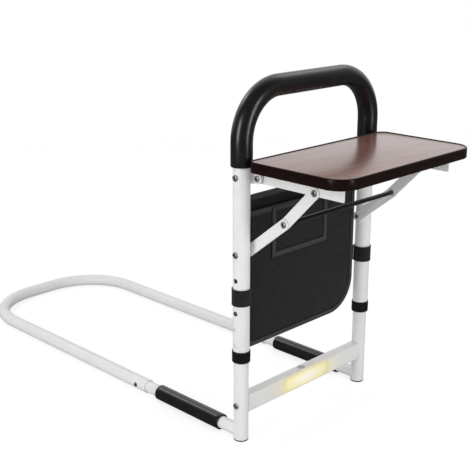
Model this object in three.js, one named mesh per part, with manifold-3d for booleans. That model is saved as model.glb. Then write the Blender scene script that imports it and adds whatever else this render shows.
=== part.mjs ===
// Bed rail with a folding table: a steel rail that stands beside a bed on two legs, with a base loop that
// goes under the mattress, a light bar, a cloth bag and a small table on folding braces.
// Millimetres. X runs along the rail, +Y points at the bed, +Z is up and the floor is at z = 0.
// While it is modelled, the near upright stands at x = 0, y = 0; the last lines centre the object.

import * as THREE from 'three';
import Module from 'manifold-3d';
import { mergeVertices } from 'three/addons/utils/BufferGeometryUtils.js';

const wasm = await Module();
wasm.setup();

// Clearances and facets
const CLEARANCE = 0.3;
const TUBE_SIDES = 20;
const BEND_STEPS = 9;
const PIN_SIDES = 12;

// Rail: one bent tube
const RAIL_WIDTH = 328;
const ARCH_HEIGHT = 607.5;
const TABLE_TOP_Z = 499;
const UPPER_OD = 28.6;
const UPPER_WALL = 1.2;
const UPPER_FOOT_Z = 151.4;
const HANDLE_GRIP_OD = 36;
const GRIP_FOOT_DROP = 13;
const GRIP_STRAIGHT = 37.5;
const HANDLE_GRIP_Z = TABLE_TOP_Z - GRIP_FOOT_DROP;
const ARCH_BEND = ARCH_HEIGHT - HANDLE_GRIP_Z - GRIP_STRAIGHT;

// Collars at the lower ends of the rail
const COLLAR_OD = 31.6;
const COLLAR_HEIGHT = 20.5;
const COLLAR_LIP = 3;
const COLLAR_RIBS = 22;
const COLLAR_RIB_DEPTH = 0.6;

// Legs that slide inside the rail
const LOWER_OD = 25.4;
const LOWER_WALL = 1.4;
const LOWER_TOP_Z = 266;
const FOOT_RIM = 2;
const FOOT_PLUG = 12;
const FOOT_CHAMFER = 0.6;

// Height adjustment: a row of holes and one snap button on each side
const HOLE_PITCH = 28.8;
const HOLES_ABOVE = 2;
const HOLES_BELOW = 2;
const BUTTON_Z = 237.5;
const BUTTON_D = 8;
const BUTTON_FLANGE = 1.2;
const BUTTON_FLANGE_THICKNESS = 1;
const BUTTON_REACH = 0.25;
const BUTTON_DEPTH = 5;
const SPRING_THICKNESS = 0.8;
const SPRING_WIDTH = 6.5;
const SPRING_LENGTH = 42;

// Base loop and the tubes that it plugs on
const STUB_OD = 22;
const STUB_WALL = 1.2;
const STUB_Z = 14.3;
const STUB_END_Y = 292;
const LOOP_OD = 25.4;
const LOOP_WALL = 1.3;
const LOOP_START_Y = 246;
const LOOP_REACH_Y = 845;
const LOOP_BEND = 130;
const LOOP_BUTTON_Y = 271;
const LOOP_BUTTON_REACH = 2;
const BASE_GRIP_OD = 28.6;
const BASE_GRIP_START_Y = 47;
const BASE_GRIP_LENGTH = 166;

// Light bar
const BAR_DEPTH = 20;
const BAR_HEIGHT = 32.6;
const BAR_BOTTOM_Z = 51.3;
const BAR_WALL = 1.5;
const BAR_END_WALL = 4.5;
const BAR_CORNER = 2.5;
const BAR_BOLT_Z = 67.3;
const LENS_START_X = 100.5;
const LENS_END_REACH = 106.5;
const LENS_LENGTH = RAIL_WIDTH - LENS_START_X - LENS_END_REACH;
const LENS_HEIGHT = 26.6;
const LENS_PROUD = 0.4;
const LENS_FLANGE = 1.2;
const LENS_WALL = 1.5;
const BOARD_DEPTH_Y = 5;
const BOARD_THICKNESS = 1.5;
const LED_COUNT = 9;
const LED_SIZE = 3;
const LED_HEIGHT = 1.2;
const SWITCH_SIZE = 11;
const LIGHT_BUTTON_X = 158;
const LIGHT_BUTTON_D = 13;
const LIGHT_BUTTON_PROUD = 0.9;
const LIGHT_BUTTON_FLANGE = 1.2;
const LIGHT_BUTTON_TRAVEL = 1.5;
const BATTERY_END_REACH = 32;
const BATTERY_LENGTH = 62;
const BATTERY_START_X = RAIL_WIDTH - BATTERY_END_REACH - BATTERY_LENGTH;
const BATTERY_HEIGHT = 18;
const BATTERY_DEPTH = 12;

// Bolts
const BOLT_D = 6;
const BOLT_HEAD_D = 10;
const BOLT_HEAD_HEIGHT = 2.4;
const NUT_ACROSS = 10;
const NUT_HEIGHT = 3.6;
const BRACKET_BOLT_DROP = 17;
const BRACKET_BOLT_Z = HANDLE_GRIP_Z - BRACKET_BOLT_DROP;
const RIVET_END_D = 8;
const RIVET_END_HEIGHT = 2;

// Table
const TABLE_WIDTH = 355.5;
const TABLE_DEPTH = 194.3;
const TABLE_THICKNESS = 16.8;
const TABLE_BACK_REACH = 21.5;
const TABLE_CORNER = 35;
const TABLE_BACK_CORNER = 18;
const EDGE_WIDTH = 2.2;
const EDGE_CHAMFER = 1.2;
const RAIL_PLATE = 2.5;
const RAIL_FLANGE = 20;
const RAIL_FRONT_REACH = 190;
const RAIL_REAR = 11;
const RAIL_DROP = 9;
const SCREW_D = 4;
const SCREW_HEAD_D = 8;
const SCREW_HEAD_HEIGHT = 2.2;
const SCREW_DEPTH = 10;
const SCREW_REACHES = [65, 172];

// Hinges and folding braces
const HINGE_REACH = 20;
const HINGE_DROP = 16;
const HINGE_Z = TABLE_TOP_Z - TABLE_THICKNESS - HINGE_DROP;
const BRACKET_PLATE = 2.5;
const BRACKET_HEIGHT = 18;
const BRACKET_TOP_Z = HINGE_Z + BRACKET_HEIGHT / 2;
const BRACKET_HUG = 44;
const BOSS_D = 14;
const LINK_WIDTH = 18.5;
const LINK_PLATE = 2;
const LINK_STANDOFF = 3.3;
const RAIL_PIVOT_REACH = 114.5;
const RAIL_PIVOT_DROP = 4;
const BRACE_SPAN = 126.4;
const BRACE_FOOT_Z = HINGE_Z - BRACE_SPAN;
const KNEE_DROP = 6;
const FOLDED_KNEE_REACH = 6;
const KNEE_ROD_D = 8;
const SPACER_D = 12;

// Bag
const BAG_NEAR_GAP = 7.7;
const BAG_FAR_GAP = 11.5;
const BAG_FRONT_Y = 6.5;
const BAG_THICKNESS = 14;
const BAG_TOP_DROP = 38.2;
const BAG_FRONT_DROP = 25;
const BAG_TOP_Z = HINGE_Z - BAG_TOP_DROP;
const BAG_FRONT_TOP_Z = BAG_TOP_Z - BAG_FRONT_DROP;
const BAG_BOTTOM_Z = 162.5;
const BAG_CORNER = 62;
const BAG_SMALL_CORNER = 12;
const BAG_TOP_CORNER = 5;
const BAG_WALL = 2;
const BAG_EDGE = 8;
const BAG_ROUNDING = 4;
const PATCH_START = 59;
const PATCH_WIDTH = 145;
const PATCH_DROP = 91.5;
const PATCH_BOTTOM_Z = BAG_FRONT_TOP_Z - PATCH_DROP;
const PATCH_THICKNESS = 1.2;
const PATCH_BINDING = 9;
const PATCH_BINDING_THICKNESS = 0.8;
const BAG_STRAP_Z = 251;
const BAG_STRAP_HEIGHT = 29;
const BAG_STRAP_THICKNESS = 2;

// Safety strap: webbing round the far arm of the base loop, rolled at one end, buckled at the other
const WEB_WIDTH = 30;
const WEB_THICKNESS = 1.2;
const WEB_FLOOR_GAP = 0.1;
const WEB_Y = 330;
const WEB_SHIFT = 38;
const WEB_LEAVE_ANGLE = 35;
const WEB_FLOOR_BEND = 15;
const WEB_TO_ROLL = 52;
const WEB_TO_BUCKLE = 48;
const ROLL_RADIUS = 32;
const ROLL_PITCH = 2.8;
const ROLL_TURNS = 7.4;
const ROLL_STEPS = 22;
const BUCKLE_BAR_D = 4;
const BUCKLE_WIDTH = 38;
const BUCKLE_THICKNESS = 9.6;
const BUCKLE_LENGTH = 38;
const BUCKLE_WAIST = 7;
const BUCKLE_ARM = 3.4;
const BUCKLE_SLOT = 8;
const BUCKLE_MOUTH_WIDTH = 24;
const BUCKLE_MOUTH_HEIGHT = 5.2;
const BUCKLE_MOUTH_DEPTH = 20;
const FOLD_BACK = 30;
const FOLD_RAMP = 12;

// Sizes that follow from the ones above
const upperRadius = UPPER_OD / 2;
const lowerRadius = LOWER_OD / 2;
const stubRadius = STUB_OD / 2;
const loopRadius = LOOP_OD / 2;
const boltRadius = BOLT_D / 2;
const holeRadius = boltRadius + CLEARANCE;
const lowerLinkX = upperRadius + LINK_STANDOFF;
const upperLinkX = lowerLinkX + LINK_PLATE + CLEARANCE;
const railX = upperLinkX + LINK_PLATE + CLEARANCE;
const railInnerX = railX + RAIL_PLATE;
const bracketX = upperRadius + CLEARANCE;
const barTopZ = BAR_BOTTOM_Z + BAR_HEIGHT;
const tableBottomZ = TABLE_TOP_Z - TABLE_THICKNESS;

// Finishes
const FINISHES = {
  whiteSteel: new THREE.MeshStandardMaterial({ color: 0xf0f0ee, roughness: 0.32, metalness: 0.1 }),
  zinc: new THREE.MeshStandardMaterial({ color: 0xb8babc, roughness: 0.35, metalness: 0.9 }),
  spring: new THREE.MeshStandardMaterial({ color: 0x8f9296, roughness: 0.4, metalness: 0.9 }),
  foam: new THREE.MeshStandardMaterial({ color: 0x1c1c1d, roughness: 0.55, metalness: 0 }),
  blackPlastic: new THREE.MeshStandardMaterial({ color: 0x18181a, roughness: 0.4, metalness: 0 }),
  blackPaint: new THREE.MeshStandardMaterial({ color: 0x121213, roughness: 0.3, metalness: 0.2 }),
  greyPlastic: new THREE.MeshStandardMaterial({ color: 0xa8a9ad, roughness: 0.45, metalness: 0 }),
  cloth: new THREE.MeshStandardMaterial({ color: 0x2a2a2b, roughness: 0.9, metalness: 0 }),
  webbing: new THREE.MeshStandardMaterial({ color: 0x1b1b1c, roughness: 0.8, metalness: 0 }),
  walnut: new THREE.MeshStandardMaterial({ color: 0x5b3730, roughness: 0.35, metalness: 0 }),
  edgeBand: new THREE.MeshStandardMaterial({ color: 0x1a1212, roughness: 0.4, metalness: 0 }),
  lens: new THREE.MeshStandardMaterial({ color: 0xfaeba8, roughness: 0.3, metalness: 0 }),
  board: new THREE.MeshStandardMaterial({ color: 0xe8e6d8, roughness: 0.5, metalness: 0 }),
  battery: new THREE.MeshStandardMaterial({ color: 0x3c5a86, roughness: 0.5, metalness: 0 }),
};

const X_AXIS = new THREE.Vector3(1, 0, 0);
const Y_AXIS = new THREE.Vector3(0, 1, 0);
const Z_AXIS = new THREE.Vector3(0, 0, 1);

// Merges shared vertices, drops flat triangles and turns the faces outwards.
function closed(geometry) {
  const bare = geometry.clone();
  bare.deleteAttribute('normal');
  bare.deleteAttribute('uv');
  const merged = mergeVertices(bare, 1e-4);
  const position = merged.attributes.position;
  const corners = [];
  let volume = 0;
  const a = new THREE.Vector3();
  const b = new THREE.Vector3();
  const c = new THREE.Vector3();
  for (let i = 0; i < merged.index.count; i += 3) {
    const [ia, ib, ic] = [0, 1, 2].map((k) => merged.index.getX(i + k));
    if (ia === ib || ib === ic || ic === ia) continue;
    corners.push(ia, ib, ic);
    a.fromBufferAttribute(position, ia);
    b.fromBufferAttribute(position, ib);
    c.fromBufferAttribute(position, ic);
    volume += a.dot(b.cross(c));
  }
  if (volume < 0) {
    for (let i = 0; i < corners.length; i += 3) {
      [corners[i], corners[i + 1]] = [corners[i + 1], corners[i]];
    }
  }
  const out = new THREE.BufferGeometry();
  out.setAttribute('position', position.clone());
  out.setIndex(corners);
  return out;
}

function toSolid(geometry) {
  const ready = closed(geometry);
  return new wasm.Manifold(new wasm.Mesh({
    numProp: 3,
    vertProperties: new Float32Array(ready.attributes.position.array),
    triVerts: new Uint32Array(ready.index.array),
  }));
}

function toGeometry(solid) {
  const mesh = solid.getMesh();
  const geometry = new THREE.BufferGeometry();
  geometry.setAttribute('position', new THREE.BufferAttribute(new Float32Array(mesh.vertProperties), 3));
  geometry.setIndex(new THREE.BufferAttribute(new Uint32Array(mesh.triVerts), 1));
  return geometry;
}

function join(first, ...others) {
  return toGeometry(others.reduce((solid, other) => solid.add(toSolid(other)), toSolid(first)));
}

function cut(body, ...tools) {
  return toGeometry(tools.reduce((solid, tool) => solid.subtract(toSolid(tool)), toSolid(body)));
}

function overlap(first, second) {
  return toGeometry(toSolid(first).intersect(toSolid(second)));
}

// A full circle as a list of points, and a shape that is that circle or a ring.
function circle(radius, sides = TUBE_SIDES, x = 0, y = 0) {
  const points = [];
  for (let i = 0; i < sides; i += 1) {
    const angle = (2 * Math.PI * i) / sides;
    points.push(new THREE.Vector2(x + radius * Math.cos(angle), y + radius * Math.sin(angle)));
  }
  return points;
}

function ringShape(outer, inner, sides = TUBE_SIDES) {
  const shape = new THREE.Shape(circle(outer, sides));
  if (inner > 0) shape.holes.push(new THREE.Path(circle(inner, sides).reverse()));
  return shape;
}

// An outline through corners [x, y, radius], each rounded by its own radius.
function roundedOutline(corners, quarterSteps = 5) {
  const points = [];
  corners.forEach(([x, y, radius = 0], i) => {
    const corner = new THREE.Vector2(x, y);
    if (radius <= 0) {
      points.push(corner);
      return;
    }
    const before = corners[(i + corners.length - 1) % corners.length];
    const after = corners[(i + 1) % corners.length];
    const back = new THREE.Vector2(before[0] - x, before[1] - y).normalize();
    const ahead = new THREE.Vector2(after[0] - x, after[1] - y).normalize();
    const half = Math.acos(THREE.MathUtils.clamp(back.dot(ahead), -1, 1)) / 2;
    const centre = back.clone().add(ahead).normalize().multiplyScalar(radius / Math.sin(half)).add(corner);
    const start = back.clone().multiplyScalar(radius / Math.tan(half)).add(corner).sub(centre);
    const turn = (Math.PI - 2 * half) * Math.sign(ahead.cross(back));
    const steps = Math.max(1, Math.round((quarterSteps * Math.abs(turn)) / (Math.PI / 2)));
    for (let k = 0; k <= steps; k += 1) {
      points.push(start.clone().rotateAround(new THREE.Vector2(), (turn * k) / steps).add(centre));
    }
  });
  return points;
}

function rectangle(x0, y0, x1, y1, radius = 0, quarterSteps = 3) {
  const corners = [[x0, y0, radius], [x1, y0, radius], [x1, y1, radius], [x0, y1, radius]];
  return new THREE.Shape(roundedOutline(corners, quarterSteps));
}

// Extrusions: along Z from a shape in (x, y), along X from a shape in (y, z), along Y from one in (x, z).
function alongZ(shape, z0, z1, bevel = {}) {
  const geometry = new THREE.ExtrudeGeometry(shape, { depth: z1 - z0, bevelEnabled: false, ...bevel });
  return geometry.translate(0, 0, z0);
}

function alongX(shape, x0, x1) {
  const geometry = new THREE.ExtrudeGeometry(shape, { depth: x1 - x0, bevelEnabled: false });
  return geometry.applyMatrix4(new THREE.Matrix4().makeBasis(Y_AXIS, Z_AXIS, X_AXIS)).translate(x0, 0, 0);
}

function alongY(shape, y0, y1, bevel = {}) {
  const geometry = new THREE.ExtrudeGeometry(shape, { depth: y1 - y0, bevelEnabled: false, ...bevel });
  const back = Y_AXIS.clone().negate();
  return geometry.applyMatrix4(new THREE.Matrix4().makeBasis(X_AXIS, Z_AXIS, back)).translate(0, y1, 0);
}

function box(x0, y0, z0, x1, y1, z1) {
  const geometry = new THREE.BoxGeometry(x1 - x0, y1 - y0, z1 - z0);
  return geometry.translate((x0 + x1) / 2, (y0 + y1) / 2, (z0 + z1) / 2);
}

// Round bars along an axis. The centre is given by the two other coordinates, in X, Y, Z order.
function rodX(radius, x0, x1, y = 0, z = 0, sides = PIN_SIDES) {
  return new THREE.CylinderGeometry(radius, radius, x1 - x0, sides).rotateZ(-Math.PI / 2)
    .translate((x0 + x1) / 2, y, z);
}

function rodY(radius, y0, y1, x = 0, z = 0, sides = PIN_SIDES) {
  return new THREE.CylinderGeometry(radius, radius, y1 - y0, sides).translate(x, (y0 + y1) / 2, z);
}

function rodZ(radius, z0, z1, x = 0, y = 0, sides = PIN_SIDES) {
  return new THREE.CylinderGeometry(radius, radius, z1 - z0, sides).rotateX(Math.PI / 2)
    .translate(x, y, (z0 + z1) / 2);
}

// A turned piece from its profile [radius, height], standing on Z.
function turned(profile, sides = TUBE_SIDES) {
  const points = profile.map(([radius, height]) => new THREE.Vector2(radius, height));
  return new THREE.LatheGeometry(points, sides).rotateX(Math.PI / 2);
}

// A path of straight runs joined by round bends, with its stations only where the tube turns.
class BentPath extends THREE.Curve {
  constructor(corners, radius) {
    super();
    this.stations = [];
    corners.forEach((corner, i) => {
      if (i === 0 || i === corners.length - 1) {
        const neighbour = i === 0 ? corners[1] : corners[i - 1];
        const tangent = neighbour.clone().sub(corner).normalize().multiplyScalar(i === 0 ? 1 : -1);
        this.stations.push({ point: corner.clone(), tangent });
        return;
      }
      const arriving = corner.clone().sub(corners[i - 1]).normalize();
      const leaving = corners[i + 1].clone().sub(corner).normalize();
      const angle = arriving.angleTo(leaving);
      const start = corner.clone().addScaledVector(arriving, -radius * Math.tan(angle / 2));
      const inward = leaving.clone().addScaledVector(arriving, -leaving.dot(arriving)).normalize();
      for (let k = 0; k <= BEND_STEPS; k += 1) {
        const turn = (angle * k) / BEND_STEPS;
        const point = start.clone().addScaledVector(arriving, radius * Math.sin(turn))
          .addScaledVector(inward, radius * (1 - Math.cos(turn)));
        const tangent = arriving.clone().multiplyScalar(Math.cos(turn))
          .addScaledVector(inward, Math.sin(turn));
        this.stations.push({ point, tangent });
      }
    });
  }

  getPoint(t, target = new THREE.Vector3()) {
    const place = t * (this.stations.length - 1);
    const index = Math.min(Math.floor(place + 1e-6), this.stations.length - 2);
    return target.lerpVectors(this.stations[index].point, this.stations[index + 1].point, place - index);
  }

  getTangent(t, target = new THREE.Vector3()) {
    return target.copy(this.stations[Math.round(t * (this.stations.length - 1))].tangent);
  }

  getPointAt(u, target) {
    return this.getPoint(u, target);
  }

  getTangentAt(u, target) {
    return this.getTangent(u, target);
  }
}

function bentTube(corners, bend, outer, inner) {
  const path = new BentPath(corners, bend);
  return new THREE.ExtrudeGeometry(ringShape(outer, inner), {
    steps: path.stations.length - 1,
    extrudePath: path,
  });
}

// A flat strip of even thickness along a line of points in a plane.
function stripShape(line, thickness) {
  const sides = [[], []];
  line.forEach((point, i) => {
    const back = point.clone().sub(line[Math.max(i - 1, 0)]).normalize();
    const ahead = line[Math.min(i + 1, line.length - 1)].clone().sub(point).normalize();
    const along = back.add(ahead).normalize();
    const normal = new THREE.Vector2(-along.y, along.x).multiplyScalar(thickness / 2);
    sides[0].push(point.clone().add(normal));
    sides[1].push(point.clone().sub(normal));
  });
  return new THREE.Shape([...sides[1], ...sides[0].reverse()]);
}

// Both sides of the rail: pieces are modelled on the near side and mirrored for the far one.
const SIDES = [{ name: 'left', x: 0, mirror: false }, { name: 'right', x: RAIL_WIDTH, mirror: true }];

function onSide(side, geometry) {
  if (!side.mirror) return geometry;
  return closed(geometry).applyMatrix4(new THREE.Matrix4().makeScale(-1, 1, 1));
}

function piece(parent, name, geometry, material) {
  const mesh = new THREE.Mesh(closed(geometry), material);
  mesh.geometry.computeVertexNormals();
  mesh.name = name;
  parent.add(mesh);
  return mesh;
}

// One piece on each side; the group of a side stands on its upright's axis.
function pair(parent, name, geometry, material) {
  SIDES.forEach((side) => {
    const mesh = piece(parent, `${name}_${side.name}`, onSide(side, geometry), material);
    mesh.position.x = side.x;
  });
}

// A bolt along X with its round head at x0 and, if it has one, its nut tight at x1.
function bolt(x0, x1, y, z, nut = true) {
  const head = [
    [0, -BOLT_HEAD_HEIGHT],
    [BOLT_HEAD_D * 0.3, -BOLT_HEAD_HEIGHT],
    [BOLT_HEAD_D * 0.5, -BOLT_HEAD_HEIGHT * 0.45],
    [BOLT_HEAD_D * 0.5, 0],
    [boltRadius, 0],
    [boltRadius, x1 - x0 + (nut ? NUT_HEIGHT + 1 : 0)],
    [0, x1 - x0 + (nut ? NUT_HEIGHT + 1 : 0)],
  ];
  let body = turned(head, PIN_SIDES).rotateY(Math.PI / 2).translate(x0, y, z);
  if (nut) body = join(body, rodX(NUT_ACROSS / Math.sqrt(3), x1, x1 + NUT_HEIGHT, y, z, 6));
  return body;
}

// Base: legs, feet, loop and foam sleeves
function addBase(base) {
  const footZ = FOOT_RIM + CLEARANCE;
  const boreRadius = lowerRadius - LOWER_WALL;
  const buttonHole = BUTTON_D / 2 + CLEARANCE;
  const leg = cut(
    join(
      rodZ(lowerRadius, footZ, LOWER_TOP_Z, 0, 0, TUBE_SIDES),
      rodY(stubRadius, 0, STUB_END_Y, 0, STUB_Z, TUBE_SIDES),
    ),
    rodZ(boreRadius, 0, LOWER_TOP_Z + 1, 0, 0, TUBE_SIDES),
    rodY(stubRadius - STUB_WALL, lowerRadius, STUB_END_Y + 1, 0, STUB_Z, TUBE_SIDES),
    rodX(buttonHole, -lowerRadius - 1, 0, 0, BUTTON_Z),
    rodX(buttonHole, -stubRadius - 1, 0, LOOP_BUTTON_Y, STUB_Z),
    rodX(holeRadius, -lowerRadius - 1, lowerRadius + 1, 0, BAR_BOLT_Z),
  );
  pair(base, 'leg', leg, FINISHES.whiteSteel);

  const plugRadius = boreRadius - CLEARANCE;
  const cap = turned([
    [0, 0],
    [lowerRadius - FOOT_CHAMFER, 0],
    [lowerRadius, FOOT_CHAMFER],
    [lowerRadius, FOOT_RIM],
    [plugRadius, FOOT_RIM],
    [plugRadius, FOOT_RIM + FOOT_PLUG],
    [0, FOOT_RIM + FOOT_PLUG],
  ]);
  pair(base, 'foot_cap', cap, FINISHES.blackPlastic);

  const loop = bentTube([
    new THREE.Vector3(0, LOOP_START_Y, STUB_Z),
    new THREE.Vector3(0, LOOP_REACH_Y, STUB_Z),
    new THREE.Vector3(RAIL_WIDTH, LOOP_REACH_Y, STUB_Z),
    new THREE.Vector3(RAIL_WIDTH, LOOP_START_Y, STUB_Z),
  ], LOOP_BEND, loopRadius, loopRadius - LOOP_WALL);
  const loopHoles = SIDES.map((side) => {
    const outward = side.mirror ? 1 : -1;
    const ends = [side.x, side.x + outward * (loopRadius + 1)].sort((p, q) => p - q);
    return rodX(buttonHole, ...ends, LOOP_BUTTON_Y, STUB_Z);
  });
  piece(base, 'base_loop', cut(loop, ...loopHoles), FINISHES.whiteSteel);

  const sleeve = alongY(ringShape(BASE_GRIP_OD / 2, stubRadius + CLEARANCE),
    BASE_GRIP_START_Y, BASE_GRIP_START_Y + BASE_GRIP_LENGTH).translate(0, 0, STUB_Z);
  pair(base, 'base_grip', sleeve, FINISHES.foam);
}

// Snap buttons: a flanged pin that a bent leaf spring pushes out through the wall of its tube
function snapButton(reach, tubeInner, y, z) {
  const inner = Math.sqrt(tubeInner ** 2 - (BUTTON_D / 2 + BUTTON_FLANGE) ** 2) - CLEARANCE;
  return join(
    rodX(BUTTON_D / 2, -reach, -(tubeInner - BUTTON_DEPTH), y, z, 16),
    rodX(BUTTON_D / 2 + BUTTON_FLANGE, -inner, -inner + BUTTON_FLANGE_THICKNESS, y, z, 16),
  );
}

// The spring's line starts behind the button, runs down the tube, turns and comes back along the far wall.
function springLine(tubeInner) {
  const front = -(tubeInner - BUTTON_DEPTH) + CLEARANCE + SPRING_THICKNESS / 2;
  const flat = Math.sqrt((tubeInner * Math.cos(Math.PI / TUBE_SIDES)) ** 2 - (SPRING_WIDTH / 2) ** 2);
  const rear = flat - CLEARANCE - SPRING_THICKNESS / 2;
  const turnRadius = (rear - front) / 2 - 1;
  const line = [new THREE.Vector2(front, BUTTON_D * 0.8), new THREE.Vector2(front, -BUTTON_D * 0.8)];
  for (let k = 0; k <= 8; k += 1) {
    const angle = Math.PI + (Math.PI * k) / 8;
    line.push(new THREE.Vector2(
      (front + rear) / 2 + turnRadius * Math.cos(angle),
      -SPRING_LENGTH + turnRadius + turnRadius * Math.sin(angle),
    ));
  }
  line.push(new THREE.Vector2(rear, -SPRING_LENGTH * 0.5), new THREE.Vector2(rear, BUTTON_D * 0.5));
  return line;
}

function addSnapButtons(base) {
  const legBore = lowerRadius - LOWER_WALL;
  const headRadius = lowerRadius + BUTTON_REACH;
  const flushHead = rodZ(headRadius, BUTTON_Z - BUTTON_D, BUTTON_Z + BUTTON_D, 0, 0, TUBE_SIDES);
  const legButton = overlap(snapButton(upperRadius, legBore, 0, BUTTON_Z), flushHead);
  pair(base, 'leg_button', legButton, FINISHES.zinc);
  const halfWidth = SPRING_WIDTH / 2;
  const legSpring = alongY(stripShape(springLine(legBore), SPRING_THICKNESS), -halfWidth, halfWidth)
    .translate(0, 0, BUTTON_Z);
  pair(base, 'leg_spring', legSpring, FINISHES.spring);

  const stubBore = stubRadius - STUB_WALL;
  const loopButton = snapButton(loopRadius + LOOP_BUTTON_REACH, stubBore, LOOP_BUTTON_Y, STUB_Z);
  pair(base, 'loop_button', loopButton, FINISHES.zinc);
  const loopSpring = alongZ(stripShape(springLine(stubBore), SPRING_THICKNESS), -halfWidth, halfWidth)
    .translate(0, LOOP_BUTTON_Y, STUB_Z);
  pair(base, 'loop_spring', loopSpring, FINISHES.spring);
}

// Light bar: a rectangular tube, coped to the legs, with a lens, a board, a battery and a push button
function addLightBar(base) {
  const halfDepth = BAR_DEPTH / 2;
  const inner = halfDepth - BAR_WALL;
  const endX = lowerRadius + CLEARANCE + BAR_END_WALL;
  const lensEndX = LENS_START_X + LENS_LENGTH;
  const lensZ0 = BAR_BOTTOM_Z + (BAR_HEIGHT - LENS_HEIGHT) / 2;
  const lensZ1 = lensZ0 + LENS_HEIGHT;
  const buttonRadius = LIGHT_BUTTON_D / 2;
  const copes = SIDES.map((side) => (
    rodZ(lowerRadius + CLEARANCE, BAR_BOTTOM_Z - 1, barTopZ + 1, side.x, 0, TUBE_SIDES)
  ));
  const bar = cut(
    alongX(rectangle(-halfDepth, BAR_BOTTOM_Z, halfDepth, barTopZ, BAR_CORNER), 0, RAIL_WIDTH),
    box(endX, -inner, BAR_BOTTOM_Z + BAR_WALL, RAIL_WIDTH - endX, inner, barTopZ - BAR_WALL),
    box(LENS_START_X, -halfDepth - 1, lensZ0, lensEndX, -inner + 1, lensZ1),
    rodZ(buttonRadius + CLEARANCE, barTopZ - BAR_WALL - 1, barTopZ + 1, LIGHT_BUTTON_X, 0, 16),
    rodX(holeRadius, 0, endX + 1, 0, BAR_BOLT_Z),
    rodX(holeRadius, RAIL_WIDTH - endX - 1, RAIL_WIDTH, 0, BAR_BOLT_Z),
    ...copes,
  );
  piece(base, 'cross_bar', bar, FINISHES.whiteSteel);
  const boltEnd = endX + CLEARANCE;
  pair(base, 'cross_bar_bolt', bolt(-lowerRadius - CLEARANCE, boltEnd, 0, BAR_BOLT_Z), FINISHES.zinc);

  const boardY = -halfDepth + BOARD_DEPTH_Y + BOARD_THICKNESS;
  const trayY = boardY - CLEARANCE;
  const flangeY = -inner + CLEARANCE;
  const [x0, x1] = [LENS_START_X + CLEARANCE, lensEndX - CLEARANCE];
  const [z0, z1] = [lensZ0 + CLEARANCE, lensZ1 - CLEARANCE];
  const floorZ = BAR_BOTTOM_Z + BAR_WALL + CLEARANCE;
  const ceilingZ = barTopZ - BAR_WALL - CLEARANCE;
  const shelfZ = ceilingZ - LIGHT_BUTTON_FLANGE - LIGHT_BUTTON_TRAVEL - CLEARANCE;
  const plateY = flangeY + LENS_FLANGE;
  const lens = cut(
    join(
      box(x0, -halfDepth - LENS_PROUD, z0, x1, plateY, z1),
      box(x0 - LENS_WALL, flangeY, floorZ, x1 + LENS_WALL, trayY, shelfZ),
    ),
    box(x0 + LENS_WALL, plateY, z0, x1 - LENS_WALL, trayY + 1, shelfZ - LENS_WALL),
  );
  piece(base, 'light_lens', lens, FINISHES.lens);

  const ledPitch = (LENS_LENGTH - 4 * LED_SIZE) / (LED_COUNT - 1);
  const midZ = (lensZ0 + lensZ1) / 2;
  const leds = Array.from({ length: LED_COUNT }, (_, i) => {
    const x = LENS_START_X + 2 * LED_SIZE + i * ledPitch;
    return box(x - LED_SIZE / 2, boardY - LED_HEIGHT, midZ - LED_SIZE / 2,
      x + LED_SIZE / 2, boardY + 0.5, midZ + LED_SIZE / 2);
  });
  const switchBody = box(LIGHT_BUTTON_X - SWITCH_SIZE / 2, boardY + BOARD_THICKNESS - 0.5,
    shelfZ - SWITCH_SIZE / 2, LIGHT_BUTTON_X + SWITCH_SIZE / 2, inner - 2, shelfZ);
  const board = join(
    box(x0 - LENS_WALL, boardY, floorZ, x1 + LENS_WALL, boardY + BOARD_THICKNESS, shelfZ),
    switchBody,
    ...leds,
  );
  piece(base, 'light_board', board, FINISHES.board);

  const pack = alongX(
    rectangle(-BATTERY_DEPTH / 2, floorZ, BATTERY_DEPTH / 2, floorZ + BATTERY_HEIGHT, BATTERY_DEPTH * 0.4),
    BATTERY_START_X,
    BATTERY_START_X + BATTERY_LENGTH,
  );
  piece(base, 'battery_pack', pack, FINISHES.battery);

  const flangeRadius = buttonRadius + LIGHT_BUTTON_FLANGE;
  const button = turned([
    [0, ceilingZ - LIGHT_BUTTON_FLANGE],
    [flangeRadius, ceilingZ - LIGHT_BUTTON_FLANGE],
    [flangeRadius, ceilingZ],
    [buttonRadius, ceilingZ],
    [buttonRadius, barTopZ + LIGHT_BUTTON_PROUD * 0.5],
    [buttonRadius * 0.85, barTopZ + LIGHT_BUTTON_PROUD],
    [0, barTopZ + LIGHT_BUTTON_PROUD],
  ], 16);
  const flangeFlat = box(-flangeRadius, -flangeRadius - 1, BAR_BOTTOM_Z, flangeRadius,
    plateY + CLEARANCE, barTopZ + 2);
  piece(base, 'light_button', cut(button, flangeFlat), FINISHES.greyPlastic).position.x = LIGHT_BUTTON_X;
}

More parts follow.
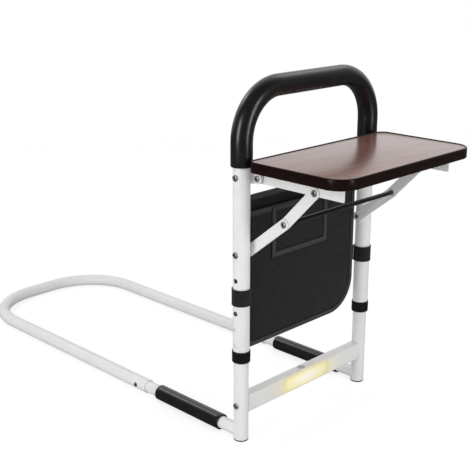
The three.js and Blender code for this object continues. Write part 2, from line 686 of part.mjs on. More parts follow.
// Safety strap: its line in the (x, z) plane, with the place of its middle along y
function webbingStations() {
  const stations = [];
  const add = (x, z, y) => stations.push({ x, z, y });
  const middleZ = WEB_FLOOR_GAP + WEB_THICKNESS / 2;
  const wrap = STUB_Z - middleZ;
  const leave = THREE.MathUtils.degToRad(WEB_LEAVE_ANGLE);
  const fall = Math.PI / 2 - leave;
  const rollCentre = { x: WEB_TO_ROLL, z: middleZ + ROLL_RADIUS };
  const total = Math.round(ROLL_TURNS * ROLL_STEPS);
  for (let k = total; k > 0; k -= 1) {
    const angle = -Math.PI / 2 + (2 * Math.PI * k) / ROLL_STEPS;
    const radius = ROLL_RADIUS - (ROLL_PITCH * k) / ROLL_STEPS;
    add(rollCentre.x + radius * Math.cos(angle), rollCentre.z + radius * Math.sin(angle), WEB_Y);
  }
  add(rollCentre.x, middleZ, WEB_Y);
  const wrapTurn = 1.5 * Math.PI - leave;
  const wrapSteps = 18;
  for (let k = 0; k <= wrapSteps; k += 1) {
    const share = k / wrapSteps;
    const angle = -Math.PI / 2 - wrapTurn * share;
    const y = WEB_Y - WEB_SHIFT * THREE.MathUtils.smoothstep(share, 0, 1);
    add(wrap * Math.cos(angle), STUB_Z + wrap * Math.sin(angle), y);
  }
  const y = WEB_Y - WEB_SHIFT;
  const last = stations[stations.length - 1];
  const bendTop = middleZ + WEB_FLOOR_BEND * (1 - Math.cos(fall));
  const run = (last.z - bendTop) / Math.sin(fall);
  const bendX = last.x + run * Math.cos(fall);
  for (let k = 0; k <= 6; k += 1) {
    const angle = fall * (1 - k / 6);
    add(bendX + WEB_FLOOR_BEND * (Math.sin(fall) - Math.sin(angle)),
      middleZ + WEB_FLOOR_BEND * (1 - Math.cos(angle)), y);
  }
  const barX = bendX + WEB_FLOOR_BEND * Math.sin(fall) + WEB_TO_BUCKLE;
  const turnRadius = (BUCKLE_BAR_D + WEB_THICKNESS) / 2 + CLEARANCE;
  const backZ = middleZ + WEB_THICKNESS + 2.5 * CLEARANCE;
  for (let k = 0; k <= 6; k += 1) {
    const angle = -Math.PI / 2 + (Math.PI * k) / 6;
    add(barX + turnRadius * Math.cos(angle), middleZ + turnRadius + turnRadius * Math.sin(angle), y);
  }
  add(barX - FOLD_RAMP, backZ, y);
  add(barX - FOLD_BACK, backZ, y);
  return { stations, barX, barZ: middleZ + turnRadius, buckleY: y };
}

// Least gap of the webbing to itself, measured between stations that are not neighbours on its line.
function leastGap(stations) {
  let least = Infinity;
  const reach = 4 * WEB_THICKNESS;
  for (let i = 0; i < stations.length; i += 1) {
    let along = 0;
    for (let j = i + 1; j < stations.length; j += 1) {
      const [p, q, r] = [stations[i], stations[j], stations[j - 1]];
      if (along >= reach) {
        const flat = Math.max(0, distanceToRun(p, r, q) - WEB_THICKNESS);
        const aside = Math.max(0, Math.abs(p.y - q.y) - WEB_WIDTH);
        least = Math.min(least, Math.hypot(flat, aside));
      }
      along += Math.hypot(q.x - r.x, q.z - r.z);
    }
  }
  return least;
}

function distanceToRun(p, start, end) {
  const [dx, dz] = [end.x - start.x, end.z - start.z];
  const share = ((p.x - start.x) * dx + (p.z - start.z) * dz) / (dx * dx + dz * dz || 1);
  const t = THREE.MathUtils.clamp(share, 0, 1);
  return Math.hypot(p.x - start.x - t * dx, p.z - start.z - t * dz);
}

function webbing(stations) {
  const vertices = [];
  const faces = [];
  stations.forEach((station, i) => {
    const before = stations[Math.max(i - 1, 0)];
    const after = stations[Math.min(i + 1, stations.length - 1)];
    const back = new THREE.Vector2(station.x - before.x, station.z - before.z).normalize();
    const ahead = new THREE.Vector2(after.x - station.x, after.z - station.z).normalize();
    const along = back.add(ahead).normalize();
    const half = WEB_THICKNESS / 2;
    [[1, 1], [1, -1], [-1, -1], [-1, 1]].forEach(([up, aside]) => {
      vertices.push(station.x - along.y * half * up, station.y + (aside * WEB_WIDTH) / 2,
        station.z + along.x * half * up);
    });
    if (i === 0) return;
    const [a, b] = [4 * (i - 1), 4 * i];
    for (let k = 0; k < 4; k += 1) {
      const next = (k + 1) % 4;
      faces.push(a + k, b + k, b + next, a + k, b + next, a + next);
    }
  });
  const end = 4 * (stations.length - 1);
  faces.push(0, 1, 2, 0, 2, 3, end, end + 2, end + 1, end, end + 3, end + 2);
  const geometry = new THREE.BufferGeometry();
  geometry.setAttribute('position', new THREE.Float32BufferAttribute(vertices, 3));
  geometry.setIndex(faces);
  return geometry;
}

// Socket half of a side-release buckle, its webbing bar at barX
function buckle(barX, barZ) {
  const half = BUCKLE_WIDTH / 2;
  const waist = half - BUCKLE_WAIST;
  const bodyX = barX + BUCKLE_SLOT;
  const endX = barX + BUCKLE_LENGTH;
  const tailX = barX - BUCKLE_BAR_D / 2;
  const z0 = WEB_FLOOR_GAP;
  const z1 = z0 + BUCKLE_THICKNESS;
  const waistX0 = bodyX + (endX - bodyX) * 0.3;
  const waistX1 = bodyX + (endX - bodyX) * 0.6;
  const outline = roundedOutline([
    [tailX, -half, 2], [bodyX, -half, 3], [waistX0, -waist, 5], [waistX1, -waist, 5], [endX - 6, -half, 1.5],
    [endX, -half, 1], [endX, half, 1], [endX - 6, half, 1.5], [waistX1, waist, 5], [waistX0, waist, 5],
    [bodyX, half, 3], [tailX, half, 2],
  ], 3);
  const slotHalf = half - BUCKLE_ARM;
  const barRadius = BUCKLE_BAR_D / 2;
  const mouthZ = (z0 + z1) / 2 - BUCKLE_MOUTH_HEIGHT / 2;
  const frame = cut(
    alongZ(new THREE.Shape(outline), z0, z1),
    box(tailX - 1, -slotHalf, z0 - 1, bodyX - 1, slotHalf, z1 + 1),
    box(endX - BUCKLE_MOUTH_DEPTH, -BUCKLE_MOUTH_WIDTH / 2, mouthZ, endX + 1, BUCKLE_MOUTH_WIDTH / 2,
      mouthZ + BUCKLE_MOUTH_HEIGHT),
  );
  return join(frame, rodY(barRadius, -slotHalf - 1, slotHalf + 1, barX, barZ));
}

function addSafetyStrap(base) {
  const { stations, barX, barZ, buckleY } = webbingStations();
  console.log(`least gap of the webbing to itself: ${leastGap(stations).toFixed(2)} mm`);
  const strap = new THREE.Group();
  strap.position.x = RAIL_WIDTH;
  base.add(strap);
  piece(strap, 'strap_webbing', webbing(stations), FINISHES.webbing);
  const socket = piece(strap, 'strap_buckle', buckle(barX, barZ), FINISHES.blackPlastic);
  socket.position.y = buckleY;
}

// Rail: bent tube, foam grip, collars
function addRail(rail) {
  const corners = (z) => [
    new THREE.Vector3(0, 0, z),
    new THREE.Vector3(0, 0, ARCH_HEIGHT),
    new THREE.Vector3(RAIL_WIDTH, 0, ARCH_HEIGHT),
    new THREE.Vector3(RAIL_WIDTH, 0, z),
  ];
  const tube = bentTube(corners(UPPER_FOOT_Z), ARCH_BEND, upperRadius, upperRadius - UPPER_WALL);
  const holes = [];
  SIDES.forEach((side) => {
    const outward = side.mirror ? 1 : -1;
    const ends = [side.x, side.x + outward * (upperRadius + 1)].sort((p, q) => p - q);
    for (let i = -HOLES_BELOW; i <= HOLES_ABOVE; i += 1) {
      holes.push(rodX(BUTTON_D / 2 + CLEARANCE, ...ends, 0, BUTTON_Z + i * HOLE_PITCH));
    }
    const [x0, x1] = [side.x - upperRadius - 1, side.x + upperRadius + 1];
    holes.push(rodX(holeRadius, x0, x1, 0, BRACKET_BOLT_Z), rodX(holeRadius, x0, x1, 0, BRACE_FOOT_Z));
  });
  piece(rail, 'handle_tube', cut(tube, ...holes), FINISHES.whiteSteel);

  const grip = bentTube(corners(HANDLE_GRIP_Z), ARCH_BEND, HANDLE_GRIP_OD / 2, upperRadius + CLEARANCE);
  piece(rail, 'handle_grip', grip, FINISHES.foam);

  const ribbed = [];
  for (let i = 0; i < COLLAR_RIBS * 2; i += 1) {
    const radius = COLLAR_OD / 2 - (i % 2 ? COLLAR_RIB_DEPTH : 0);
    const angle = (Math.PI * i) / COLLAR_RIBS;
    ribbed.push(new THREE.Vector2(radius * Math.cos(angle), radius * Math.sin(angle)));
  }
  const collarZ = UPPER_FOOT_Z - CLEARANCE - COLLAR_LIP;
  const collar = cut(
    alongZ(new THREE.Shape(ribbed), collarZ, collarZ + COLLAR_HEIGHT),
    rodZ(lowerRadius + CLEARANCE, collarZ - 1, collarZ + COLLAR_HEIGHT + 1, 0, 0, TUBE_SIDES),
    rodZ(upperRadius + CLEARANCE, collarZ + COLLAR_LIP, collarZ + COLLAR_HEIGHT + 1, 0, 0, TUBE_SIDES),
  );
  pair(rail, 'collar', collar, FINISHES.blackPlastic);
}

// Hinge brackets on the inner side of the uprights, with the bolts of the table's hinge and of the braces
function addHinges(rail) {
  const plateX = bracketX + BRACKET_PLATE;
  const hug = THREE.MathUtils.degToRad(BRACKET_HUG);
  const saddle = [];
  for (let k = 0; k <= 6; k += 1) {
    const angle = hug - (2 * hug * k) / 6;
    saddle.push([bracketX * Math.cos(angle), bracketX * Math.sin(angle)]);
  }
  const saddleY = bracketX * Math.sin(hug);
  const frontY = -HINGE_REACH - BOSS_D * 0.75;
  const profile = new THREE.Shape([
    [plateX, frontY],
    [plateX, saddleY],
    ...saddle,
    [bracketX, -saddleY - 0.5],
    [bracketX, frontY],
  ].map(([x, y]) => new THREE.Vector2(x, y)));
  const z0 = BRACKET_TOP_Z - BRACKET_HEIGHT;
  const bracket = cut(
    join(
      alongZ(profile, z0, BRACKET_TOP_Z),
      rodX(BOSS_D / 2, plateX - 0.5, railX - CLEARANCE, -HINGE_REACH, HINGE_Z, 16),
    ),
    rodX(holeRadius, 0, railX, 0, BRACKET_BOLT_Z),
    rodX(holeRadius, 0, railX, -HINGE_REACH, HINGE_Z),
  );
  pair(rail, 'hinge_bracket', bracket, FINISHES.whiteSteel);
  const outerX = -upperRadius - CLEARANCE;
  pair(rail, 'bracket_bolt', bolt(outerX, plateX + CLEARANCE, 0, BRACKET_BOLT_Z), FINISHES.zinc);
  pair(rail, 'hinge_bolt', bolt(bracketX - CLEARANCE, railInnerX + CLEARANCE, -HINGE_REACH, HINGE_Z),
    FINISHES.zinc);

  const rivetX = lowerLinkX + LINK_PLATE + CLEARANCE;
  const pivot = join(
    bolt(outerX, rivetX, 0, BRACE_FOOT_Z, false),
    rodX(RIVET_END_D / 2, rivetX, rivetX + RIVET_END_HEIGHT, 0, BRACE_FOOT_Z),
  );
  pair(rail, 'brace_pivot_bolt', pivot, FINISHES.zinc);
  const spacer = alongX(ringShape(SPACER_D / 2, holeRadius, 16), bracketX, lowerLinkX - CLEARANCE)
    .translate(0, 0, BRACE_FOOT_Z);
  pair(rail, 'brace_spacer', spacer, FINISHES.blackPlastic);
}

// Bag: one shell with its pocket open at the top, a patch pocket and a strap to each upright
function addBag(rail) {
  const x0 = upperRadius + BAG_NEAR_GAP;
  const x1 = RAIL_WIDTH - upperRadius - BAG_FAR_GAP;
  const backY = BAG_FRONT_Y + BAG_THICKNESS;
  const outline = (inset, top) => new THREE.Shape(roundedOutline([
    [x0 + inset, BAG_BOTTOM_Z + inset, Math.max(BAG_SMALL_CORNER - inset, 1)],
    [x1 - inset, BAG_BOTTOM_Z + inset, BAG_CORNER - inset],
    [x1 - inset, top, top > BAG_TOP_Z ? 0 : BAG_TOP_CORNER],
    [x0 + inset, top, top > BAG_TOP_Z ? 0 : BAG_TOP_CORNER],
  ], 4));
  const shell = alongY(outline(BAG_ROUNDING, BAG_TOP_Z - BAG_ROUNDING), BAG_FRONT_Y + BAG_ROUNDING / 2,
    backY - BAG_ROUNDING / 2, {
      bevelEnabled: true,
      bevelThickness: BAG_ROUNDING / 2,
      bevelSize: BAG_ROUNDING,
      bevelSegments: 2,
    });
  const moved = new THREE.Box3().setFromBufferAttribute(shell.attributes.position);
  shell.translate(0, backY - moved.max.y, 0);
  const body = cut(
    shell,
    alongY(outline(BAG_EDGE, BAG_TOP_Z + 1), BAG_FRONT_Y + BAG_WALL, backY - BAG_WALL),
    box(x0 - 1, BAG_FRONT_Y - 1, BAG_FRONT_TOP_Z, x1 + 1, BAG_FRONT_Y + BAG_THICKNESS / 2, BAG_TOP_Z + 1),
  );
  piece(rail, 'bag_body', body, FINISHES.cloth);

  const patchX0 = x0 + PATCH_START;
  const patchX1 = patchX0 + PATCH_WIDTH;
  const patchY = BAG_FRONT_Y - CLEARANCE;
  const patchTop = BAG_FRONT_TOP_Z - 2;
  const faceY = patchY - PATCH_THICKNESS;
  const frontY = faceY - PATCH_BINDING_THICKNESS;
  const patch = cut(
    alongY(rectangle(patchX0, PATCH_BOTTOM_Z, patchX1, patchTop, 2), frontY, patchY),
    box(patchX0 + PATCH_BINDING, frontY - 1, PATCH_BOTTOM_Z + PATCH_BINDING,
      patchX1 - PATCH_BINDING, faceY, patchTop + 1),
  );
  piece(rail, 'bag_patch_pocket', patch, FINISHES.cloth);

  const inner = upperRadius + CLEARANCE;
  const outer = inner + BAG_STRAP_THICKNESS;
  const tabY = BAG_FRONT_Y + BAG_THICKNESS / 2;
  const strapTop = BAG_STRAP_Z + BAG_STRAP_HEIGHT;
  SIDES.forEach((side) => {
    const tabEnd = upperRadius + (side.mirror ? BAG_FAR_GAP : BAG_NEAR_GAP) - CLEARANCE;
    const strap = cut(
      join(
        rodZ(outer, BAG_STRAP_Z, strapTop, 0, 0, TUBE_SIDES),
        box(0, tabY - BAG_STRAP_THICKNESS, BAG_STRAP_Z, tabEnd, tabY, strapTop),
      ),
      rodZ(inner, BAG_STRAP_Z - 1, strapTop + 1, 0, 0, TUBE_SIDES),
    );
    piece(rail, `bag_strap_${side.name}`, onSide(side, strap), FINISHES.webbing).position.x = side.x;
  });
}

// Table: its group stands on the hinge axis, so that y and z here count from there
function addTable(table) {
  const bottom = tableBottomZ - HINGE_Z;
  const top = TABLE_TOP_Z - HINGE_Z;
  const backY = HINGE_REACH - TABLE_BACK_REACH;
  const frontY = backY - TABLE_DEPTH;
  const sideX = (RAIL_WIDTH - TABLE_WIDTH) / 2;
  const outline = (inset) => roundedOutline([
    [sideX + inset, frontY + inset, TABLE_CORNER - inset],
    [RAIL_WIDTH - sideX - inset, frontY + inset, TABLE_CORNER - inset],
    [RAIL_WIDTH - sideX - inset, backY - inset, TABLE_BACK_CORNER - inset],
    [sideX + inset, backY - inset, TABLE_BACK_CORNER - inset],
  ], 6);
  const screwX = railInnerX + RAIL_FLANGE * 0.55;
  const screwPlaces = [];
  SCREW_REACHES.forEach((reach) => {
    const y = HINGE_REACH - reach;
    screwPlaces.push([screwX, y], [RAIL_WIDTH - screwX, y]);
  });
  const pilot = SCREW_D / 2 + CLEARANCE;
  const pilotTop = bottom + SCREW_DEPTH + CLEARANCE;
  const pilots = screwPlaces.map(([x, y]) => rodZ(pilot, bottom - 1, pilotTop, x, y, 8));
  const panel = alongZ(new THREE.Shape(outline(EDGE_WIDTH + CLEARANCE)), bottom, top);
  piece(table, 'table_board', cut(panel, ...pilots), FINISHES.walnut);

  const edgeOutline = new THREE.Shape(outline(EDGE_CHAMFER));
  const chamfered = alongZ(edgeOutline, bottom + EDGE_CHAMFER, top - EDGE_CHAMFER, {
    bevelEnabled: true,
    bevelThickness: EDGE_CHAMFER,
    bevelSize: EDGE_CHAMFER,
    bevelSegments: 1,
  });
  const edge = cut(chamfered, alongZ(new THREE.Shape(outline(EDGE_WIDTH)), bottom - 1, top + 1));
  piece(table, 'table_edge', edge, FINISHES.edgeBand);

  const railTop = bottom - CLEARANCE;
  const railFrontY = HINGE_REACH - RAIL_FRONT_REACH;
  const flangeRearY = backY - EDGE_WIDTH;
  const pivotY = -RAIL_PIVOT_REACH;
  const railPlate = alongX(new THREE.Shape(roundedOutline([
    [railFrontY, -RAIL_DROP, 2],
    [RAIL_REAR, -RAIL_DROP, RAIL_DROP * 0.9],
    [RAIL_REAR, RAIL_DROP, RAIL_DROP * 0.9],
    [flangeRearY, RAIL_DROP, 1],
    [flangeRearY, railTop],
    [railFrontY, railTop, 0],
  ], 4)), railX, railInnerX);
  const flange = box(railInnerX - 0.5, railFrontY, railTop - RAIL_PLATE,
    railInnerX + RAIL_FLANGE, flangeRearY, railTop);
  const railScrews = SCREW_REACHES.map((reach) => (
    rodZ(pilot, railTop - RAIL_PLATE - 1, railTop + 1, screwX, HINGE_REACH - reach, 8)
  ));
  const angle = cut(
    join(railPlate, flange),
    rodX(holeRadius, railX - 1, railInnerX + 1, 0, 0),
    rodX(holeRadius, railX - 1, railInnerX + 1, pivotY, -RAIL_PIVOT_DROP),
    ...railScrews,
  );
  pair(table, 'table_rail', angle, FINISHES.whiteSteel);
  pair(table, 'rail_pivot_bolt',
    bolt(upperLinkX - CLEARANCE, railInnerX + CLEARANCE, pivotY, -RAIL_PIVOT_DROP), FINISHES.zinc);

  const headZ = railTop - RAIL_PLATE - CLEARANCE;
  const screw = turned([
    [0, headZ - SCREW_HEAD_HEIGHT],
    [SCREW_HEAD_D * 0.3, headZ - SCREW_HEAD_HEIGHT],
    [SCREW_HEAD_D * 0.5, headZ - SCREW_HEAD_HEIGHT * 0.4],
    [SCREW_HEAD_D * 0.5, headZ],
    [SCREW_D * 0.5, headZ],
    [SCREW_D * 0.5, bottom + SCREW_DEPTH - SCREW_D * 0.5],
    [0, bottom + SCREW_DEPTH],
  ], PIN_SIDES);
  screwPlaces.forEach(([x, y], i) => {
    piece(table, `table_screw_${i + 1}`, screw, FINISHES.zinc).position.set(x, y, 0);
  });
}

// Where the knee is with the table open, and how long that makes the two links of a brace.
// Folded, the rail's pivot hangs below the hinge and the knee stands between it and the upright.
function braceLayout() {
  const foot = new THREE.Vector2(0, BRACE_FOOT_Z);
  const railPivot = new THREE.Vector2(HINGE_REACH + RAIL_PIVOT_REACH, HINGE_Z - RAIL_PIVOT_DROP);
  const foldedPivot = new THREE.Vector2(HINGE_REACH - RAIL_PIVOT_DROP, HINGE_Z - RAIL_PIVOT_REACH);
  const span = railPivot.distanceTo(foot);
  const along = railPivot.clone().sub(foot).normalize();
  let lower = span / 2;
  let upper = span / 2;
  let share = span / 2;
  for (let k = 0; k < 40; k += 1) {
    const kneeZ = BRACE_FOOT_Z + Math.sqrt(lower ** 2 - FOLDED_KNEE_REACH ** 2);
    const foldedUpper = Math.hypot(FOLDED_KNEE_REACH - foldedPivot.x, kneeZ - foldedPivot.y);
    share = (lower ** 2 - foldedUpper ** 2 + span ** 2) / (2 * span);
    lower = Math.hypot(share, KNEE_DROP);
    upper = Math.hypot(span - share, KNEE_DROP);
  }
  const knee = foot.clone().addScaledVector(along, share)
    .add(new THREE.Vector2(along.y, -along.x).multiplyScalar(KNEE_DROP));
  return { foot, railPivot, knee, lower, upper };
}

// A flat link with round ends, from its pivot at the origin along -y
function link(length, x0, farHole) {
  const half = LINK_WIDTH / 2;
  const outline = roundedOutline([
    [-length - half, -half, half * 0.99], [half, -half, half * 0.99],
    [half, half, half * 0.99], [-length - half, half, half * 0.99],
  ], 5);
  return cut(
    alongX(new THREE.Shape(outline), x0, x0 + LINK_PLATE),
    rodX(holeRadius, x0 - 1, x0 + LINK_PLATE + 1, 0, 0),
    rodX(farHole, x0 - 1, x0 + LINK_PLATE + 1, -length, 0),
  );
}

// Each brace stands in a group on its pivot, turned to point at the knee.
function addBraces(rail, table) {
  const layout = braceLayout();
  const lowerAngle = Math.atan2(layout.knee.y - layout.foot.y, layout.knee.x - layout.foot.x);
  const upperAngle = Math.atan2(layout.knee.y - layout.railPivot.y, layout.knee.x - layout.railPivot.x);
  const lowerBrace = new THREE.Group();
  lowerBrace.position.set(0, 0, BRACE_FOOT_Z);
  lowerBrace.rotation.x = -lowerAngle;
  rail.add(lowerBrace);
  pair(lowerBrace, 'lower_link', link(layout.lower, lowerLinkX, holeRadius), FINISHES.whiteSteel);
  const kneeEnd = lowerLinkX + LINK_PLATE;
  const kneeBolt = bolt(lowerLinkX - CLEARANCE, kneeEnd, -layout.lower, 0, false);
  pair(lowerBrace, 'knee_bolt', kneeBolt, FINISHES.zinc);

  const upperBrace = new THREE.Group();
  upperBrace.position.set(0, -RAIL_PIVOT_REACH, -RAIL_PIVOT_DROP);
  upperBrace.rotation.x = -upperAngle;
  table.add(upperBrace);
  const rodHole = KNEE_ROD_D / 2 + CLEARANCE;
  pair(upperBrace, 'upper_link', link(layout.upper, upperLinkX, rodHole), FINISHES.whiteSteel);
  const rod = rodX(KNEE_ROD_D / 2, upperLinkX, RAIL_WIDTH - upperLinkX, -layout.upper, 0, 14);
  piece(upperBrace, 'knee_rod', rod, FINISHES.blackPaint);
}

const bedRail = new THREE.Group();
bedRail.name = 'bed_rail';
const assembly = new THREE.Group();
const base = new THREE.Group();
const rail = new THREE.Group();
const table = new THREE.Group();
table.position.set(0, -HINGE_REACH, HINGE_Z);
rail.add(table);
assembly.add(base, rail);
bedRail.add(assembly);

addBase(base);
addSnapButtons(base);
addLightBar(base);
addSafetyStrap(base);
addRail(rail);
addHinges(rail);
addBag(rail);
addTable(table);
addBraces(rail, table);

// The origin is on the floor, under the middle of the object's box.
bedRail.updateMatrixWorld(true);
const bounds = new THREE.Box3().setFromObject(assembly, true);
assembly.position.set(-(bounds.min.x + bounds.max.x) / 2, -(bounds.min.y + bounds.max.y) / 2, 0);

export default bedRail;
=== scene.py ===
from math import cos, exp, hypot, pi, radians, sin, sqrt, tan

import bmesh
import bpy
from mathutils import Matrix, Vector, noise


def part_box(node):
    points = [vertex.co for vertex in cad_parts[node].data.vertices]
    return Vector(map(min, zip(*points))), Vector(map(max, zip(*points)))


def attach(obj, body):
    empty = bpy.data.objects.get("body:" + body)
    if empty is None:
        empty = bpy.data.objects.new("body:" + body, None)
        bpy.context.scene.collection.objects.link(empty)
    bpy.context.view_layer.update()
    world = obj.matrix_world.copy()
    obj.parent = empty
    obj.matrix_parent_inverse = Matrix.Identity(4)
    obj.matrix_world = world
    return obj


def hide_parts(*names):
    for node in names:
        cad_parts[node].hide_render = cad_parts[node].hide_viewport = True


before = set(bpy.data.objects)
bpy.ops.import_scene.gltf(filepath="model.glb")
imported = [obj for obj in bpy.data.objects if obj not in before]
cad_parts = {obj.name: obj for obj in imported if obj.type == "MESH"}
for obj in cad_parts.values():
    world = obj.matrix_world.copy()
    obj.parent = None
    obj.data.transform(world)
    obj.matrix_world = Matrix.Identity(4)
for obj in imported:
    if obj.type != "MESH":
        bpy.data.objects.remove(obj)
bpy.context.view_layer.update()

# Camera, lamps, floor and sky: the camera stands low at the left of the table, as in the photograph.
# The near upright's axis is the place that all sizes below are counted from, in millimetres,
# with x along the rail to the far upright, y towards the bed and z up.
MM = 0.001
cap_low, cap_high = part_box("foot_cap_left")
far_low, far_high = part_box("foot_cap_right")
near_upright = Vector(((cap_low.x + cap_high.x) / 2, (cap_low.y + cap_high.y) / 2, 0))
upright_spacing = (far_low.x + far_high.x - cap_low.x - cap_high.x) / 2 / MM
to_frame = Matrix.Translation(near_upright) @ Matrix.Diagonal((MM, MM, MM, 1))

CAMERA_PLACE = (-1051.8, -1023.5, 825.6)
CAMERA_DIP = radians(17.19)
CAMERA_TURN = radians(45.37)


def set_all(thing, **values):
    """Sets each named value of the thing, and gives the thing back."""
    for name, value in values.items():
        setattr(thing, name, value)
    return thing


def new_object(name, data):
    thing = bpy.data.objects.new(name, data)
    bpy.context.collection.objects.link(thing)
    return thing


camera_data = set_all(bpy.data.cameras.new("camera"), sensor_width=36, lens=72.25, clip_end=80)
camera = new_object("camera", camera_data)
camera.location = to_frame @ Vector(CAMERA_PLACE)
camera.rotation_euler = (pi / 2 - CAMERA_DIP, 0, -CAMERA_TURN)
bpy.context.scene.camera = camera
bpy.context.scene.view_settings.view_transform = "Standard"


def hang_lamp(name, place, target, width, height, watts):
    """A soft box of the given width and height that faces its target."""
    data = set_all(bpy.data.lights.new(name, "AREA"), shape="RECTANGLE", size=width, size_y=height,
                   energy=watts)
    lamp = new_object(name, data)
    lamp.location = Vector(place)
    lamp.rotation_euler = (Vector(target) - Vector(place)).to_track_quat("-Z", "Y").to_euler()


UPPER_LEG = (-0.1, -0.25, 0.35)
ARCH_FOOT = (0, -0.1, 0.3)
hang_lamp("left_box", (-2.38, -0.4, 0.95), UPPER_LEG, 0.65, 1.5, 20)
hang_lamp("right_box", (0.35, -2.75, 0.85), UPPER_LEG, 0.5, 1.5, 17)
hang_lamp("back_box", (-0.35, 1.6, 2.0), ARCH_FOOT, 0.7, 0.7, 6)
hang_lamp("top_box", (1.7, 0.0, 2.3), ARCH_FOOT, 0.9, 0.9, 3)


def add_node(kind, inputs=None, give=0, **settings):
    """Adds a node to the tree at hand, with its settings and its inputs, and gives one output."""
    node = set_all(nodes.new(kind), **settings)
    for socket, source in (inputs or {}).items():
        if isinstance(source, bpy.types.NodeSocket):
            links.new(source, node.inputs[socket])
        else:
            node.inputs[socket].default_value = source
    return node.outputs[give]


def larger(a, b):
    return add_node("ShaderNodeMath", {0: a, 1: b}, operation="MAXIMUM")


def map_range(value, low, high, to_low, to_high=1.0, **settings):
    return add_node("ShaderNodeMapRange", {"Value": value, "From Min": low, "From Max": high,
                                           "To Min": to_low, "To Max": to_high}, **settings)


def mix_shaders(share, a, b):
    """A blend of two shaders; the share is that of the second."""
    return add_node("ShaderNodeMixShader", {"Fac": share, 1: a, 2: b})


# The sky is white to the camera. What is mirrored goes from dark behind the camera to white beyond the rail.
SKY_LIGHT = 0.6
SKY_DARK = 0.12
BEYOND = (0.712, 0.703, 0.1)
sky = bpy.data.worlds.new("sky")
sky.use_nodes = True
nodes, links = sky.node_tree.nodes, sky.node_tree.links
seen = nodes.new("ShaderNodeLightPath").outputs
direction = add_node("ShaderNodeTexCoord", give="Generated")
beyond = add_node("ShaderNodeVectorMath", {0: direction, 1: BEYOND}, "Value", operation="DOT_PRODUCT")
mirrored = map_range(beyond, 0.1, 0.75, SKY_DARK, interpolation_type="SMOOTHSTEP")
ray_kind = larger(larger(seen["Is Camera Ray"], seen["Is Glossy Ray"]), seen["Is Transmission Ray"])
strength = map_range(ray_kind, 0.0, 1.0, SKY_LIGHT, larger(mirrored, seen["Is Camera Ray"]))
nodes["Background"].inputs["Color"].default_value = (1, 1, 1, 1)
links.new(strength, nodes["Background"].inputs["Strength"])
bpy.context.scene.world = sky

# The floor is pale, lit from within where the camera sees it, and fades to white well clear of the rail.
FLOOR_EDGE = 15
FLOOR_Z = -0.0004
FLOOR_GLOW = 0.78
FADE_START = 0.8
FADE_END = 2.6
floor_mesh = bpy.data.meshes.new("floor")
floor_corners = [(x * FLOOR_EDGE, y * FLOOR_EDGE, FLOOR_Z) for x, y in ((-1, -1), (1, -1), (1, 1), (-1, 1))]
floor_mesh.from_pydata(floor_corners, [], [(0, 1, 2, 3)])
floor = new_object("floor", floor_mesh)
pale_floor = bpy.data.materials.new("pale floor")
pale_floor.use_nodes = True
nodes, links = pale_floor.node_tree.nodes, pale_floor.node_tree.links
nodes.remove(nodes["Principled BSDF"])
seen = nodes.new("ShaderNodeLightPath").outputs
place = add_node("ShaderNodeTexCoord", give="Object")
paint, dark_paint, lit_paint = [add_node("ShaderNodeBsdfDiffuse", {"Color": (grey, grey, grey, 1)})
                                for grey in (0.78, 0.18, 0.30)]
glow = add_node("ShaderNodeEmission", {"Strength": FLOOR_GLOW})
near = add_node("ShaderNodeAddShader", {0: lit_paint, 1: glow})
reach = add_node("ShaderNodeVectorMath", {0: place}, "Value", operation="LENGTH")
shown = mix_shaders(map_range(reach, FADE_START, FADE_END, 0.0), near, add_node("ShaderNodeEmission"))
unseen = mix_shaders(seen["Is Glossy Ray"], paint, dark_paint)
links.new(mix_shaders(seen["Is Camera Ray"], unseen, shown), nodes["Material Output"].inputs["Surface"])
floor_mesh.materials.append(pale_floor)

# Legs: 25.4 mm steel tube with a 22 mm tube welded square to its foot, for the foam and the base loop.
# Both are white powder coat over steel, cut square, drilled for the snap buttons and for the light bar's
# bolts, and the weld is a small even bead round the joint.
LEG_RADIUS = 12.7
LEG_BORE = 11.3
LEG_FOOT = 2.3
LEG_TOP = 266
STUB_RADIUS = 11
STUB_BORE = 9.8
STUB_END = 292
BASE_Z = 14.3
LEG_BUTTON_Z = 237.5
LOOP_BUTTON_Y = 271
BAR_BOLT_Z = 67.3
BUTTON_HOLE = 4.3
BOLT_HOLE = 3.3


def start_material(name):
    """A new material becomes the tree at hand; its shader and its object coordinates come with it."""
    material = bpy.data.materials.new(name)
    material.use_nodes = True
    nodes = material.node_tree.nodes
    place = nodes.new("ShaderNodeTexCoord").outputs["Object"]
    return material, nodes, material.node_tree.links, nodes["Principled BSDF"], place


def add_noise(scale, detail=2.0, stretch=None):
    at = add_node("ShaderNodeMapping", {"Scale": stretch, "Vector": place}) if stretch else place
    return add_node("ShaderNodeTexNoise", {"Scale": scale, "Detail": detail, "Vector": at}, "Fac")


def add_ramp(value, *stops):
    """A colour that follows a value; each stop is (value, colour)."""
    ramp = add_node("ShaderNodeValToRGB", {"Fac": value})
    elements = ramp.node.color_ramp.elements
    while len(elements) < len(stops):
        elements.new(0.5)
    for element, (position, colour) in zip(elements, stops):
        element.position = position
        element.color = (*colour, 1)
    return ramp


def colour(value, *stops):
    links.new(add_ramp(value, *stops), shader.inputs["Base Color"])


def roughen(value, low, high):
    links.new(map_range(value, 0.3, 0.7, low, high), shader.inputs["Roughness"])


def add_bump(height, strength, distance):
    bump = add_node("ShaderNodeBump", {"Strength": strength, "Distance": distance, "Height": height})
    links.new(bump, shader.inputs["Normal"])


def set_shader(**values):
    for name, value in values.items():
        shader.inputs[name.replace("_", " ")].default_value = value


